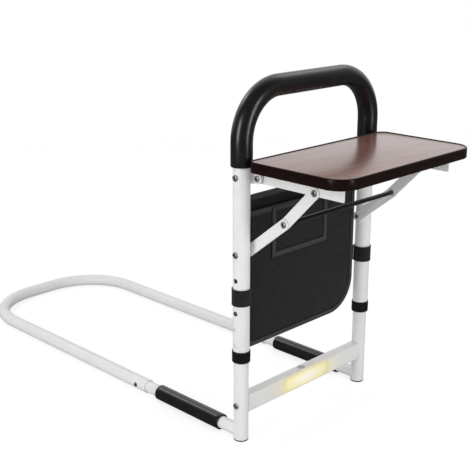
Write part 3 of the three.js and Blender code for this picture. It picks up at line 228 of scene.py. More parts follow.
powder_coat, nodes, links, shader, place = start_material("white powder coat")
colour(add_noise(22, 3), (0.3, (0.80, 0.80, 0.795)), (0.7, (0.845, 0.845, 0.84)))
roughen(add_noise(60), 0.3, 0.42)
add_bump(add_noise(900, 1), 0.12, 0.0002)


def skin(bm, rings, ring=False, caps=False):
    """Faces from each ring to the next; a ring of one point is a tip. The ends are joined, capped or left."""
    made = []
    for low, high in list(zip(rings, rings[1:])) + ([(rings[-1], rings[0])] if ring else []):
        for k in range(max(len(low), len(high))):
            corners = [low[k % len(low)], low[(k + 1) % len(low)],
                       high[(k + 1) % len(high)], high[k % len(high)]]
            made.append(bm.faces.new(list(dict.fromkeys(corners))))
    if caps:
        made += [bm.faces.new(list(reversed(rings[0]))), bm.faces.new(rings[-1])]
    bmesh.ops.recalc_face_normals(bm, faces=made)
    return made


def turned(bm, profile, origin, axis, steps=56, hexagon=()):
    """A turned solid: profile is (radius, distance along the axis); one that is off the axis is a ring."""
    axis = Vector(axis).normalized()
    side = axis.orthogonal().normalized()
    across = axis.cross(side)
    rings = []
    for k, (radius, along) in enumerate(profile):
        centre = Vector(origin) + axis * along
        if radius < 1e-6:
            rings.append([bm.verts.new(centre)])
            continue
        ring = []
        for i in range(steps):
            angle = 2 * pi * i / steps
            reach = radius
            if k in hexagon:
                reach = radius * cos(pi / 6) / cos((angle % (pi / 3)) - pi / 6)
            out = side * reach * cos(angle) + across * reach * sin(angle)
            ring.append(bm.verts.new(centre + out))
        rings.append(ring)
    skin(bm, rings, ring=len(rings[0]) > 1)


def tube(bm, outer, inner, start, end, ease=0.3):
    """A straight length of tube with its cut ends eased."""
    start, end = Vector(start), Vector(end)
    length = (end - start).length
    turned(bm, [(outer, ease), (outer, length - ease), (outer - ease, length), (inner + ease / 2, length),
                (inner, length - ease), (inner, ease), (inner + ease / 2, 0), (outer - ease, 0)],
           start, end - start)


def rod(bm, radius, start, end, ease=0.3, steps=40):
    """A straight solid bar with its ends eased."""
    start, end = Vector(start), Vector(end)
    length = (end - start).length
    turned(bm, [(0, 0), (radius - ease, 0), (radius, ease), (radius, length - ease), (radius - ease, length),
                (0, length)], start, end - start, steps)


def hole(bm, radius, start, stop, y, z):
    """A cutter for a round hole, from start to stop along x."""
    rod(bm, radius, (start, y, z), (stop, y, z), 0)


def new_piece(name, bm, *finishes, move=to_frame):
    """An object from a mesh, as a rule set into the frame from millimetres."""
    bmesh.ops.transform(bm, matrix=move, verts=bm.verts)
    mesh = bpy.data.meshes.new(name)
    bm.to_mesh(mesh)
    bm.free()
    for finish in finishes:
        mesh.materials.append(finish)
    return new_object(name, mesh)


def drill(piece, *groups):
    """Cuts each group of cutters out of the piece; the cutters of a group stay clear of each other."""
    cutters = [new_piece("cutter", bm) for bm in groups]
    for cutter in cutters:
        set_all(piece.modifiers.new("cut", "BOOLEAN"), operation="DIFFERENCE", solver="EXACT", object=cutter)
    make_plain(piece)
    for cutter in cutters:
        bpy.data.objects.remove(cutter)


def make_plain(piece, crease=32):
    """Turns the piece and its modifiers into one plain mesh, shaded soft up to its sharp edges."""
    bpy.context.view_layer.update()
    shown = piece.evaluated_get(bpy.context.evaluated_depsgraph_get())
    mesh = bpy.data.meshes.new_from_object(shown)
    piece.modifiers.clear()
    piece.data = mesh
    mesh.shade_smooth()
    mesh.set_sharp_from_angle(angle=radians(crease))
    return piece


def seat(piece, body, slot, *nodes):
    """The piece rides on its body and stands for the solids that it replaces, which are hidden; the slot is
    not used.
    """
    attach(piece, body)
    if nodes:
        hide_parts(*nodes)
    return piece


def set_in(name, bm, finish, body, slot, *nodes, crease=32):
    """A piece from a mesh, made plain and seated."""
    return seat(make_plain(new_piece(name, bm, finish), crease), body, slot, *nodes)


STUB_START = 5
PAST_WALL = 16
UPRIGHTS = (0, upright_spacing)
SIDES = ((0, 1), (upright_spacing, -1))
legs = bmesh.new()
leg_holes = bmesh.new()
for x, inward in SIDES:
    tube(legs, LEG_RADIUS, LEG_BORE, (x, 0, LEG_FOOT), (x, 0, LEG_TOP))
    tube(legs, STUB_RADIUS, STUB_BORE, (x, STUB_START, BASE_Z), (x, STUB_END, BASE_Z))
    for y, z in ((0, LEG_BUTTON_Z), (LOOP_BUTTON_Y, BASE_Z)):
        hole(leg_holes, BUTTON_HOLE, x - inward * PAST_WALL, x - inward * 2, y, z)
    hole(leg_holes, BOLT_HOLE, x - PAST_WALL, x + PAST_WALL, 0, BAR_BOLT_Z)
leg_tubes = new_piece("leg_tubes", legs, powder_coat)
drill(leg_tubes, leg_holes)
seat(leg_tubes, "base", "white_steel", "leg_left", "leg_right")

WELD_STEPS = 60
WELD_SIDES = 10
WELD_RADIUS = STUB_RADIUS + 0.1
WELD_BEAD = 1.15
WELD_RIPPLE = 0.12
welds = bmesh.new()
for x in UPRIGHTS:
    rings = []
    for i in range(WELD_STEPS):
        angle = 2 * pi * i / WELD_STEPS
        outward = Vector((sin(angle), 0, cos(angle)))
        aside = WELD_RADIUS * sin(angle)
        y = sqrt(LEG_RADIUS ** 2 - aside ** 2)
        seam = Vector((x + aside, y, BASE_Z + WELD_RADIUS * cos(angle)))
        bead = WELD_BEAD + WELD_RIPPLE * sin(13 * angle)
        rings.append([])
        for k in range(WELD_SIDES):
            around = 2 * pi * k / WELD_SIDES
            out = outward * bead * cos(around) + Vector((0, 1, 0)) * bead * sin(around)
            rings[-1].append(welds.verts.new(seam + out))
    skin(welds, rings, ring=True)
set_in("weld_beads", welds, powder_coat, "base", "white_steel", crease=60)

# Foot caps: moulded black plastic plugs pressed into the legs, with a rim that stands on the floor.
# The rim is as wide as the leg and has a small radius at the bottom, and a gate mark in the middle.
black_plastic, nodes, links, shader, place = start_material("moulded black plastic")
colour(add_noise(90, 3), (0.3, (0.004, 0.004, 0.0045)), (0.7, (0.009, 0.009, 0.0095)))
roughen(add_noise(300), 0.28, 0.4)
set_shader(Specular_IOR_Level=0.35)
add_bump(add_noise(2600, 1), 0.25, 0.0001)

caps = bmesh.new()
for x in UPRIGHTS:
    turned(caps, [(0, 0.25), (1.6, 0.25), (1.8, 0), (12.0, 0), (12.5, 0.2), (12.7, 0.7), (12.7, 2.0),
                  (11.0, 2.05), (11.0, 13.2), (10.2, 14), (0, 14)], (x, 0, 0), (0, 0, 1))
set_in("foot_caps", caps, black_plastic, "base", "black_plastic", "foot_cap_left", "foot_cap_right")

# Base loop: one length of 25.4 mm tube bent to a long U that lies under the mattress, white powder coat.
# Its open ends slide over the legs' welded tubes and are held by a snap button on each side.
LOOP_START = 246
LOOP_REACH = 845
LOOP_BEND = 130
LOOP_RADIUS = 12.7
LOOP_WALL = 1.3


def start_tree(name, sizes):
    """A Geometry Nodes tree with its named sizes, a geometry input and a geometry output."""
    tree = bpy.data.node_groups.new(name, "GeometryNodeTree")
    tree.interface.new_socket("Geometry", in_out="INPUT", socket_type="NodeSocketGeometry")
    for size, kind in sizes.items():
        tree.interface.new_socket(size, in_out="INPUT", socket_type="NodeSocket" + kind)
    tree.interface.new_socket("Geometry", in_out="OUTPUT", socket_type="NodeSocketGeometry")
    given = tree.nodes.new("NodeGroupInput").outputs
    return tree, tree.nodes, tree.links, given, tree.nodes.new("NodeGroupOutput")


def end_tree(geometry):
    """Makes the instances real and gives them their finish."""
    real = add_node("GeometryNodeRealizeInstances", {0: geometry})
    finish = add_node("GeometryNodeSetMaterial", {"Geometry": real, "Material": given["Finish"]})
    links.new(finish, out.inputs[0])


def use_tree(piece, tree, values):
    """Puts the tree on the piece, its sizes set by the sockets' identifiers."""
    modifier = piece.modifiers.new(tree.name, "NODES")
    modifier.node_group = tree
    for item in tree.interface.items_tree:
        if item.in_out == "INPUT" and item.name in values:
            modifier[item.identifier] = values[item.name]
    return piece


bent_tube, nodes, links, given, out = start_tree("bent tube", {
    "Tube radius": "Float", "Bend radius": "Float", "Bend steps": "Int", "Sides": "Int",
    "Finish": "Material"})
spine = add_node("GeometryNodeMeshToCurve", {0: given["Geometry"]})
bends = add_node("GeometryNodeFilletCurve", {"Curve": spine, "Radius": given["Bend radius"],
                                             "Count": given["Bend steps"]}, mode="POLY")
section = add_node("GeometryNodeCurvePrimitiveCircle", {"Resolution": given["Sides"],
                                                        "Radius": given["Tube radius"]})
end_tree(add_node("GeometryNodeCurveToMesh", {"Curve": bends, "Profile Curve": section}))


def draw_line(bm, points):
    """A line of edges through the points."""
    verts = [bm.verts.new(point) for point in points]
    for a, b in zip(verts, verts[1:]):
        bm.edges.new((a, b))


def bend_tube(name, corners, radius, wall, bend, ease, finish):
    """A tube of even wall bent along its corners, with the edges of its open ends eased."""
    bm = bmesh.new()
    draw_line(bm, corners)
    piece = new_piece(name, bm, finish)
    use_tree(piece, bent_tube, {"Tube radius": radius * MM, "Bend radius": bend * MM, "Bend steps": 28,
                                "Sides": 56, "Finish": finish})
    set_all(piece.modifiers.new("wall", "SOLIDIFY"), thickness=wall * MM, offset=-1)
    set_all(piece.modifiers.new("rim", "BEVEL"), limit_method="ANGLE", angle_limit=radians(50),
            width=ease * MM, segments=3)
    return make_plain(piece)


def u_line(foot, end):
    """The corners of a U over both uprights, as x and the distance from its open side."""
    return ((0, foot), (0, end), (upright_spacing, end), (upright_spacing, foot))


loop_line = [(x, y, BASE_Z) for x, y in u_line(LOOP_START, LOOP_REACH)]
base_loop = bend_tube("base_loop_tube", loop_line, LOOP_RADIUS, LOOP_WALL, LOOP_BEND, 0.25, powder_coat)
loop_holes = bmesh.new()
for x, inward in SIDES:
    hole(loop_holes, BUTTON_HOLE, x - inward * PAST_WALL, x - inward * 3, LOOP_BUTTON_Y, BASE_Z)
drill(base_loop, loop_holes)
seat(base_loop, "base", "white_steel", "base_loop")

# Foam sleeves on the legs' welded tubes: black closed-cell foam, 3 mm thick, pushed on dry.
# The skin is smooth with fine pores, and the cut ends are slightly rounded and a little uneven.
foam, nodes, links, shader, place = start_material("black closed-cell foam")
colour(add_noise(45, 4), (0.3, (0.003, 0.003, 0.0033)), (0.7, (0.007, 0.007, 0.0075)))
roughen(add_noise(120, 2), 0.25, 0.31)
set_shader(Specular_IOR_Level=0.6)
add_bump(add_noise(1700, 3), 0.1, 0.0002)

SLEEVE_START = 47
SLEEVE_END = 213
SLEEVE_RADIUS = 14.3
SLEEVE_BORE = 11.3
SLEEVE_LENGTH = SLEEVE_END - SLEEVE_START
sleeves = bmesh.new()
for x in UPRIGHTS:
    rim = [(SLEEVE_BORE + 0.4, 0), (SLEEVE_RADIUS - 0.9, 0), (SLEEVE_RADIUS - 0.3, 0.3),
           (SLEEVE_RADIUS - 0.02, 1.0)]
    waves = [(SLEEVE_RADIUS - 0.06 + 0.05 * sin(k * 1.7), 1.0 + (SLEEVE_LENGTH - 2) * k / 24)
             for k in range(1, 24)]
    far_rim = [(radius, SLEEVE_LENGTH - along) for radius, along in reversed(rim)]
    profile = rim + waves + far_rim + [(SLEEVE_BORE, SLEEVE_LENGTH - 0.5), (SLEEVE_BORE, 0.5)]
    turned(sleeves, profile, (x, SLEEVE_START, BASE_Z), (0, 1, 0))
base_sleeves = make_plain(new_piece("base_foam_sleeves", sleeves, foam))
seat(base_sleeves, "base", "foam", "base_grip_left", "base_grip_right")

# Snap buttons: zinc-plated steel pins with a domed head and a flange inside the tube, one in each leg for
# the height and one in each welded tube for the loop. A bent leaf spring of spring steel pushes each out.
zinc, nodes, links, shader, place = start_material("bright zinc plate")
colour(add_noise(260, 4), (0.25, (0.36, 0.365, 0.375)), (0.75, (0.55, 0.555, 0.565)))
set_shader(Metallic=1.0)
roughen(add_noise(500, 3), 0.26, 0.42)
add_bump(add_noise(1500, 2), 0.1, 0.0001)

pin_steel, nodes, links, shader, place = start_material("dull zinc plate")
colour(add_noise(300, 4), (0.25, (0.10, 0.10, 0.105)), (0.75, (0.21, 0.21, 0.215)))
set_shader(Metallic=1.0)
roughen(add_noise(500, 3), 0.3, 0.45)
add_bump(add_noise(1500, 2), 0.1, 0.0001)

spring_steel, nodes, links, shader, place = start_material("blue spring steel")
colour(add_noise(180, 4, (1, 1, 6)), (0.3, (0.20, 0.205, 0.22)), (0.7, (0.34, 0.345, 0.36)))
set_shader(Metallic=1.0)
roughen(add_noise(700, 2), 0.3, 0.45)


LEG_PIN_HEAD = 15.7
LOOP_PIN_HEAD = 14.7


def snap_button(name, x, inward, y, z, bore, head, body, node):
    """A pin with its domed head out at head and its flange just inside the tube's bore."""
    flange = sqrt(bore ** 2 - 5.2 ** 2) - 0.3
    button = bmesh.new()
    turned(button, [(0, bore - 5), (3.8, bore - 5), (4.0, bore - 4.8), (4.0, flange - 1), (5.0, flange - 1),
                    (5.2, flange - 0.8), (5.2, flange - 0.2), (5.0, flange), (4.0, flange), (4.0, head - 1.6),
                    (3.8, head - 1.0), (3.3, head - 0.5), (2.4, head - 0.16), (1.2, head - 0.03), (0, head)],
           (x, y, z), (-inward, 0, 0), 32)
    set_in(name, button, pin_steel, body, "zinc", node)


for side, (x, inward) in zip(("left", "right"), SIDES):
    snap_button(f"leg_snap_button_{side}", x, inward, 0, LEG_BUTTON_Z, LEG_BORE, LEG_PIN_HEAD,
                f"leg_button_{side}", f"leg_button_{side}")
    snap_button(f"loop_snap_button_{side}", x, inward, LOOP_BUTTON_Y, BASE_Z, STUB_BORE, LOOP_PIN_HEAD,
                f"loop_button_{side}", f"loop_button_{side}")


def refinish(node, finish):
    """A CAD solid that keeps its shape gets its finish on the object's own slot."""
    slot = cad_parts[node].material_slots[0]
    slot.link = "OBJECT"
    slot.material = finish


for node in ("leg_spring_left", "leg_spring_right", "loop_spring_left", "loop_spring_right"):
    refinish(node, spring_steel)

# Light bar: a 20 x 33 mm rectangular tube, coped to the legs and bolted through them, white powder coat.
# It has a window for the lens at the front and a round hole on top for the push button.
bar_coat_with_painted_lamp_glow, nodes, links, shader, place = start_material("white powder coat with painted lamp glow")
LENS_START = 100.5
LENS_LENGTH = 121
LENS_LOW = 54.3
LENS_HEIGHT = 26.6
lens_centre = to_frame @ Vector((LENS_START + LENS_LENGTH / 2, -10, LENS_LOW + LENS_HEIGHT / 2))


def from_lens(x, y, z):
    """Places counted from the lens's middle, with each axis scaled."""
    centre = (-lens_centre.x * x, -lens_centre.y * y, -lens_centre.z * z)
    return add_node("ShaderNodeMapping", {"Location": centre, "Scale": (x, y, z), "Vector": place})


# Near the lens the bar's colour turns warm yellow: a painted glow of the lamp's light on the white powder
# coat, fading out away from the lens.
reach = add_node("ShaderNodeVectorMath", {0: from_lens(9, 200, 38)}, "Value", operation="LENGTH")
colour(reach, (0.0, (0.95, 0.89, 0.62)), (0.6, (0.94, 0.88, 0.64)), (0.8, (0.88, 0.85, 0.74)),
       (1.0, (0.82, 0.82, 0.81)))
roughen(add_noise(60), 0.3, 0.42)
add_bump(add_noise(900, 1), 0.12, 0.0002)


def eased_copy(name, finish, edge, body, slot, *cad_nodes, segments=2, crease=35, cutter=None):
    """A seated copy of CAD solids with their doubles merged, their flats made whole and their edges eased."""
    bm = bmesh.new()
    for node in cad_nodes:
        bm.from_mesh(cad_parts[node].data)
    bmesh.ops.remove_doubles(bm, verts=bm.verts, dist=2e-6)
    bmesh.ops.dissolve_limit(bm, angle_limit=radians(0.5), verts=bm.verts, edges=bm.edges)
    bmesh.ops.recalc_face_normals(bm, faces=bm.faces)
    piece = new_piece(name, bm, finish, move=Matrix())
    if cutter:
        drill(piece, cutter)
    set_all(piece.modifiers.new("eased edges", "BEVEL"), limit_method="ANGLE", angle_limit=radians(crease),
            width=edge * MM, segments=segments, use_clamp_overlap=True)
    seat(make_plain(piece, crease), body, slot, *cad_nodes)


eased_copy("light_bar_tube", bar_coat_with_painted_lamp_glow, 0.35, "base", "white_steel", "cross_bar")

# Lamp: a milky warm-white lens let into the bar's window, a board with a row of light chips behind it,
# a battery pack, and a grey push button on top of the bar. The lens is lit, brightest at its middle, with a
# painted shade line near its edge for the gap round it.
lit_lens, nodes, links, shader, place = start_material("lit milky lens")
reach = add_node("ShaderNodeVectorMath", {0: from_lens(15, 15, 62)}, "Value", operation="LENGTH")
glow = add_ramp(reach, (0.0, (1.0, 0.97, 0.90)), (0.35, (1.0, 0.94, 0.72)), (0.7, (0.96, 0.88, 0.53)),
                (1.0, (0.90, 0.80, 0.42)))
# Painted shade: a thin frame near the lens's edge is darkened in both colour and glow, standing for the
# shadow in the narrow gap between lens and window.
parted = add_node("ShaderNodeSeparateXYZ", {0: from_lens(16.5, 0, 75)}).node.outputs
across, upward = [add_node("ShaderNodeMath", {0: parted[axis]}, operation="ABSOLUTE") for axis in "XZ"]
painted_gap_shade_line = add_ramp(larger(across, upward), (0.0, (1, 1, 1)), (0.90, (1, 1, 1)), (0.93, (0.72, 0.74, 0.78)),
                    (0.955, (1, 1, 1)))
dimmed = add_node("ShaderNodeMix", {"Factor": 1.0, "A": glow, "B": painted_gap_shade_line}, "Result",
                  data_type="RGBA", blend_type="MULTIPLY")
links.new(dimmed, shader.inputs["Base Color"])
links.new(dimmed, shader.inputs["Emission Color"])
set_shader(Emission_Strength=0.16, Roughness=0.28)
add_bump(add_noise(700, 1), 0.1, 0.0002)
eased_copy("lamp_lens", lit_lens, 0.4, "base", "lens", "light_lens", segments=3)

circuit_board, nodes, links, shader, place = start_material("white circuit board")
colour(add_noise(400, 2), (0.35, (0.55, 0.54, 0.46)), (0.65, (0.70, 0.69, 0.62)))
roughen(add_noise(900), 0.35, 0.6)
refinish("light_board", circuit_board)

battery_wrap, nodes, links, shader, place = start_material("blue shrink wrap")
colour(add_noise(150, 3), (0.3, (0.035, 0.085, 0.21)), (0.7, (0.055, 0.12, 0.27)))
roughen(add_noise(200, 3, (8, 1, 1)), 0.3, 0.5)
add_bump(add_noise(220, 3, (8, 1, 1)), 0.3, 0.0004)
refinish("battery_pack", battery_wrap)

BAR_TOP = 83.9
LIGHT_BUTTON_X = 158
grey_plastic, nodes, links, shader, place = start_material("grey moulded plastic")
colour(add_noise(300, 3), (0.3, (0.40, 0.40, 0.42)), (0.7, (0.47, 0.47, 0.49)))
roughen(add_noise(800), 0.35, 0.5)
push = bmesh.new()
turned(push, [(0, -2.8), (6.3, -2.8), (6.5, -2.6), (6.5, 0.2), (6.3, 0.55), (5.8, 0.8), (5.2, 0.88),
              (4.9, 0.62), (4.4, 0.5), (2.0, 0.55), (0, 0.57)], (LIGHT_BUTTON_X, 0, BAR_TOP), (0, 0, 1))
set_in("lamp_push_button", push, grey_plastic, "light_button", "grey_plastic", "light_button")

# Safety strap: 30 mm black polypropylene webbing, 1.2 mm thick, that goes under and round the far arm of
# the loop. One end is rolled up and the other goes round the buckle's bar and is folded back.
WEB_WIDTH = 30
WEB_THICKNESS = 1.2
WEB_Y = 330
WEB_SHIFT = 38
ROLL_X = 52
ROLL_RADIUS = 32
ROLL_PITCH = 2.8
ROLL_STEPS = 22
ROLL_TURNS = 7.4
LEAVE_ANGLE = radians(35)
TAIL_BEND = 15
TAIL_LENGTH = 48
BUCKLE_BAR = 4
FOLD_LENGTH = 30
floor_line = 0.1 + WEB_THICKNESS / 2
tail_y = WEB_Y - WEB_SHIFT


def arc_point(x, y, z, radius, angle):
    return Vector((x + radius * cos(angle), y, z + radius * sin(angle)))


strap_line = []
for k in range(round(ROLL_TURNS * ROLL_STEPS) * 2, 0, -1):
    radius = ROLL_RADIUS - ROLL_PITCH * k / (2 * ROLL_STEPS)
    strap_line.append(arc_point(ROLL_X, WEB_Y, floor_line + ROLL_RADIUS, radius,
                                -pi / 2 + pi * k / ROLL_STEPS))
strap_line.append(Vector((ROLL_X, WEB_Y, floor_line)))
for k in range(55):
    share = k / 54
    eased = 1 - (1 - share) ** 2.2
    strap_line.append(arc_point(0, WEB_Y - WEB_SHIFT * eased, BASE_Z, BASE_Z - floor_line,
                                -pi / 2 - (1.5 * pi - LEAVE_ANGLE) * share))
fall = pi / 2 - LEAVE_ANGLE
top_of_bend = floor_line + TAIL_BEND * (1 - cos(fall))
bend_x = strap_line[-1].x + (strap_line[-1].z - top_of_bend) / tan(fall)
bend_end_x = bend_x + TAIL_BEND * sin(fall)
for k in range(9):
    strap_line.append(arc_point(bend_end_x, tail_y, floor_line + TAIL_BEND, TAIL_BEND,
                                -pi / 2 - fall * (1 - k / 8)))
buckle_bar_x = bend_end_x + TAIL_LENGTH
turn = (BUCKLE_BAR + WEB_THICKNESS) / 2 + 0.3
for k in range(13):
    angle = -pi / 2 + pi * k / 12
    strap_line.append(arc_point(buckle_bar_x, tail_y, floor_line + turn, turn, angle))
fold_z = floor_line + WEB_THICKNESS + 0.75
strap_line.append(Vector((buckle_bar_x - 12, tail_y, fold_z)))
strap_line.append(Vector((buckle_bar_x - FOLD_LENGTH, tail_y, fold_z)))

webbing, nodes, links, shader, place = start_material("black polypropylene webbing")
strap_map = add_node("ShaderNodeUVMap", uv_map="along")
ribs = add_node("ShaderNodeTexWave", {"Scale": 70, "Distortion": 0.6, "Detail Scale": 3, "Vector": strap_map},
                "Fac", wave_type="BANDS", bands_direction="DIAGONAL")
colour(ribs, (0.2, (0.006, 0.006, 0.0065)), (0.8, (0.022, 0.022, 0.023)))
roughen(add_noise(500, 3), 0.6, 0.8)
set_shader(Specular_IOR_Level=0.25, Sheen_Weight=0.08)
add_bump(ribs, 0.5, 0.0002)


def headings(line):
    """For each point of a line, the directions in and out of it."""
    for i, point in enumerate(line):
        yield (point, (point - line[max(i - 1, 0)]).normalized(),
               (line[min(i + 1, len(line) - 1)] - point).normalized())


def lay_webbing(bm, line, width, thickness, side):
    """Flat webbing with rounded selvedges along a line, its width along side and its map along the line."""
    half, edge, lip = thickness / 2, width / 2, thickness * 0.3
    profile = [(edge - lip, half), (edge, half - lip), (edge, lip - half), (edge - lip, -half),
               (lip - edge, -half), (-edge, lip - half), (-edge, half - lip), (lip - edge, half)]
    layer = bm.loops.layers.uv.new("along")
    rings = []
    where = {}
    gone = 0.0
    last = line[0]
    for point, back, ahead in headings(line):
        gone += (point - last).length
        last = point
        up = (back + ahead).normalized().cross(side).normalized()
        rings.append([bm.verts.new(point + side * a + up * b) for a, b in profile])
        where.update({vert: (gone * MM, a * MM) for vert, (a, b) in zip(rings[-1], profile)})
    for face in skin(bm, rings, caps=True)[:-2]:
        for loop in face.loops:
            loop[layer].uv = where[loop.vert]
    return gone


strap_mesh = bmesh.new()
strap_points = [point + Vector((upright_spacing, 0, 0)) for point in strap_line]
strap_length = lay_webbing(strap_mesh, strap_points, WEB_WIDTH, WEB_THICKNESS, Vector((0, 1, 0)))
safety_strap = make_plain(new_piece("safety_strap_webbing", strap_mesh, webbing), 50)
seat(safety_strap, "base", "webbing", "strap_webbing")

# Buckle: the socket half of a side-release buckle, moulded black acetal, with the webbing sewn round its bar.
# Its waist is drawn in on both sides, where the prongs of the other half are pressed.
eased_copy("buckle_socket", black_plastic, 0.5, "base", "black_plastic", "strap_buckle", segments=3)

# Rail: one 28.6 mm steel tube bent to an arch, white powder coat, which slides over the two legs.
# It has five holes on each side for the snap buttons and cross holes for the bracket and brace bolts.
RAIL_RADIUS = 14.3
RAIL_WALL = 1.2
RAIL_FOOT = 151.4
ARCH_TOP = 607.5
ARCH_BEND = 84
HOLE_PITCH = 28.8
HINGE_BOLT_Z = 469
BRACE_Z = 339.8
PAST_RAIL = 18


def arch_line(foot):
    return [(x, 0, z) for x, z in u_line(foot, ARCH_TOP)]


rail_tube = bend_tube("rail_tube", arch_line(RAIL_FOOT), RAIL_RADIUS, RAIL_WALL, ARCH_BEND, 0.25, powder_coat)
rail_holes = bmesh.new()
for x, inward in SIDES:
    for k in range(-2, 3):
        z = LEG_BUTTON_Z + k * HOLE_PITCH
        hole(rail_holes, BUTTON_HOLE, x - inward * PAST_RAIL, x - inward * 5, 0, z)
    for z in (HINGE_BOLT_Z, BRACE_Z):
        hole(rail_holes, BOLT_HOLE, x - PAST_RAIL, x + PAST_RAIL, 0, z)
drill(rail_tube, rail_holes)
seat(rail_tube, "rail", "white_steel", "handle_tube")

# Hand grip: a 36 mm black foam sleeve over the arch, from just above the hinges round to the other side.
# It was pushed on before the hinges were fitted, and its ends are cut square and rounded by wear.
GRIP_FOOT = 486
GRIP_RADIUS = 18
GRIP_WALL = GRIP_RADIUS - RAIL_RADIUS - 0.3
hand_grip = bend_tube("hand_grip_foam", arch_line(GRIP_FOOT), GRIP_RADIUS, GRIP_WALL, ARCH_BEND, 1.1, foam)
seat(hand_grip, "rail", "foam", "handle_grip")

# Collars: black plastic sleeves that close the gap between rail and leg at the rail's lower ends.
# Each is moulded with upright ribs all round for the fingers, and has a lip under the rail's cut end.
COLLAR_LOW = 148.1
COLLAR_HEIGHT = 20.5
collar_ribs, nodes, links, given, out = start_tree("ring of ribs", {
    "Rib count": "Int", "Ring radius": "Float", "Rib radius": "Float", "Rib height": "Float",
    "Finish": "Material"})
ring = add_node("GeometryNodeMeshCircle", {"Vertices": given["Rib count"], "Radius": given["Ring radius"]},
                fill_type="NONE")
bar = add_node("GeometryNodeMeshCylinder", {"Vertices": 8, "Radius": given["Rib radius"],
                                            "Depth": given["Rib height"]})
spread = add_node("GeometryNodeInstanceOnPoints", {"Points": ring, "Instance": bar})
end_tree(add_node("GeometryNodeInstanceOnPoints", {"Points": given["Geometry"], "Instance": spread}))

rib_places = bmesh.new()
for x in UPRIGHTS:
    rib_places.verts.new((x, 0, COLLAR_LOW + 10.6))
collar_rib_piece = new_piece("collar_ribs", rib_places, black_plastic)
use_tree(collar_rib_piece, collar_ribs, {"Rib count": 26, "Ring radius": 15.15 * MM, "Rib radius": 0.62 * MM,
                                         "Rib height": 17 * MM, "Finish": black_plastic})
seat(make_plain(collar_rib_piece), "rail", "black_plastic")
collars = bmesh.new()
for x in UPRIGHTS:
    turned(collars, [(13.0, 0.3), (13.3, 0), (14.9, 0), (15.6, 0.5), (15.75, 1.1), (15.6, 1.8), (15.2, 2.2),
                     (15.2, COLLAR_HEIGHT - 1.8), (15.6, COLLAR_HEIGHT - 1.5), (15.75, COLLAR_HEIGHT - 1.0),
                     (15.5, COLLAR_HEIGHT - 0.3), (15.2, COLLAR_HEIGHT), (14.75, COLLAR_HEIGHT),
                     (14.6, COLLAR_HEIGHT - 0.2), (14.6, 3.0), (13.0, 3.0)], (x, 0, COLLAR_LOW), (0, 0, 1))
set_in("collar_sleeves", collars, black_plastic, "rail", "black_plastic", "collar_left", "collar_right")

# Hinge brackets: pressed steel plates that hug the uprights, with a round boss for the table's hinge bolt.
# White powder coat; each is held by one bolt right through its upright. Tube spacers hold the braces off.
HINGE_Y, HINGE_Z = -20, 466.2
BRACKET_END = 9
BRACKET_HALF = 12
bracket_corners = bmesh.new()
for x, inward in SIDES:
    outline = [(HINGE_Y + y * BRACKET_HALF, HINGE_Z + z * BRACKET_HALF)
               for y, z in ((0, 1), (-1, 1), (-1, -1), (0, -1))]
    for k in range(21):
        angle = pi * k / 20
        outline.append((HINGE_Y - BRACKET_END * sin(angle), HINGE_Z - BRACKET_END * cos(angle)))
    skin(bracket_corners, [[bracket_corners.verts.new((x + inward * off, y, z)) for y, z in outline]
                           for off in (14.2, 17.5)], caps=True)
eased_copy("hinge_bracket_plates", powder_coat, 0.3, "rail", "white_steel",
           "hinge_bracket_left", "hinge_bracket_right", cutter=bracket_corners)
spacers = bmesh.new()
for x, inward in SIDES:
    tube(spacers, 6, 3.3, (x + inward * 14.6, 0, BRACE_Z), (x + inward * 17.3, 0, BRACE_Z), 0.25)
set_in("brace_spacer_rings", spacers, powder_coat, "rail", "white_steel",
       "brace_spacer_left", "brace_spacer_right")

# Bolts: M6 steel bolts with a low round head and a hexagon socket, bright zinc plate, most with a nut.
# The same bolt in six lengths holds the light bar, the brackets, the hinges, the brace pivots and the knees.
HEAD_STEPS = 48
UNPLACED = Matrix.Scale(MM, 4)
# The hexagon socket's walls and floor are coloured near black: painted shade in the recess, where the zinc
# plate itself is as bright as on the head.
painted_socket_shade, nodes, links, shader, place = start_material("painted shade down in the zinc socket")
colour(add_noise(900, 2), (0.3, (0.02, 0.02, 0.022)), (0.7, (0.06, 0.06, 0.065)))
set_shader(Metallic=0.8, Roughness=0.6)


def bolt_pattern(grip, end):
    """One bolt along +x: the head's underside at 0, the nut or the upset end at its grip length."""
    bm = bmesh.new()
    turned(bm, [(0, grip + 0.05), (2.2, grip + 0.05), (3.0, grip - 0.6), (3.0, 0), (5.3, 0), (5.6, -0.25),
                (5.6, -0.7), (5.3, -1.3), (4.7, -1.85), (3.9, -2.25), (3.2, -2.4), (2.8, -2.4), (2.5, -2.2),
                (2.5, -0.9), (0, -0.5)], (0, 0, 0), (1, 0, 0), HEAD_STEPS, hexagon=(11, 12, 13))
    # The socket's faces take the second finish, its painted shade.
    for face in list(bm.faces)[-2 * HEAD_STEPS:]:
        face.material_index = 1
    if end == "nut":
        turned(bm, [(0, 0), (4.9, 0), (5.7, 0.45), (5.7, 3.15), (4.9, 3.6), (3.0, 3.6), (3.0, 4.3),
                    (2.5, 4.6), (0, 4.6)], (grip, 0, 0), (1, 0, 0), HEAD_STEPS, hexagon=(2, 3))
    if end == "upset":
        turned(bm, [(0, 0), (3.9, 0), (4.0, 0.2), (3.8, 1.1), (3.0, 1.7), (0, 2)], (grip, 0, 0), (1, 0, 0),
               HEAD_STEPS)
    return new_piece("bolt", bm, zinc, painted_socket_shade, move=UNPLACED)


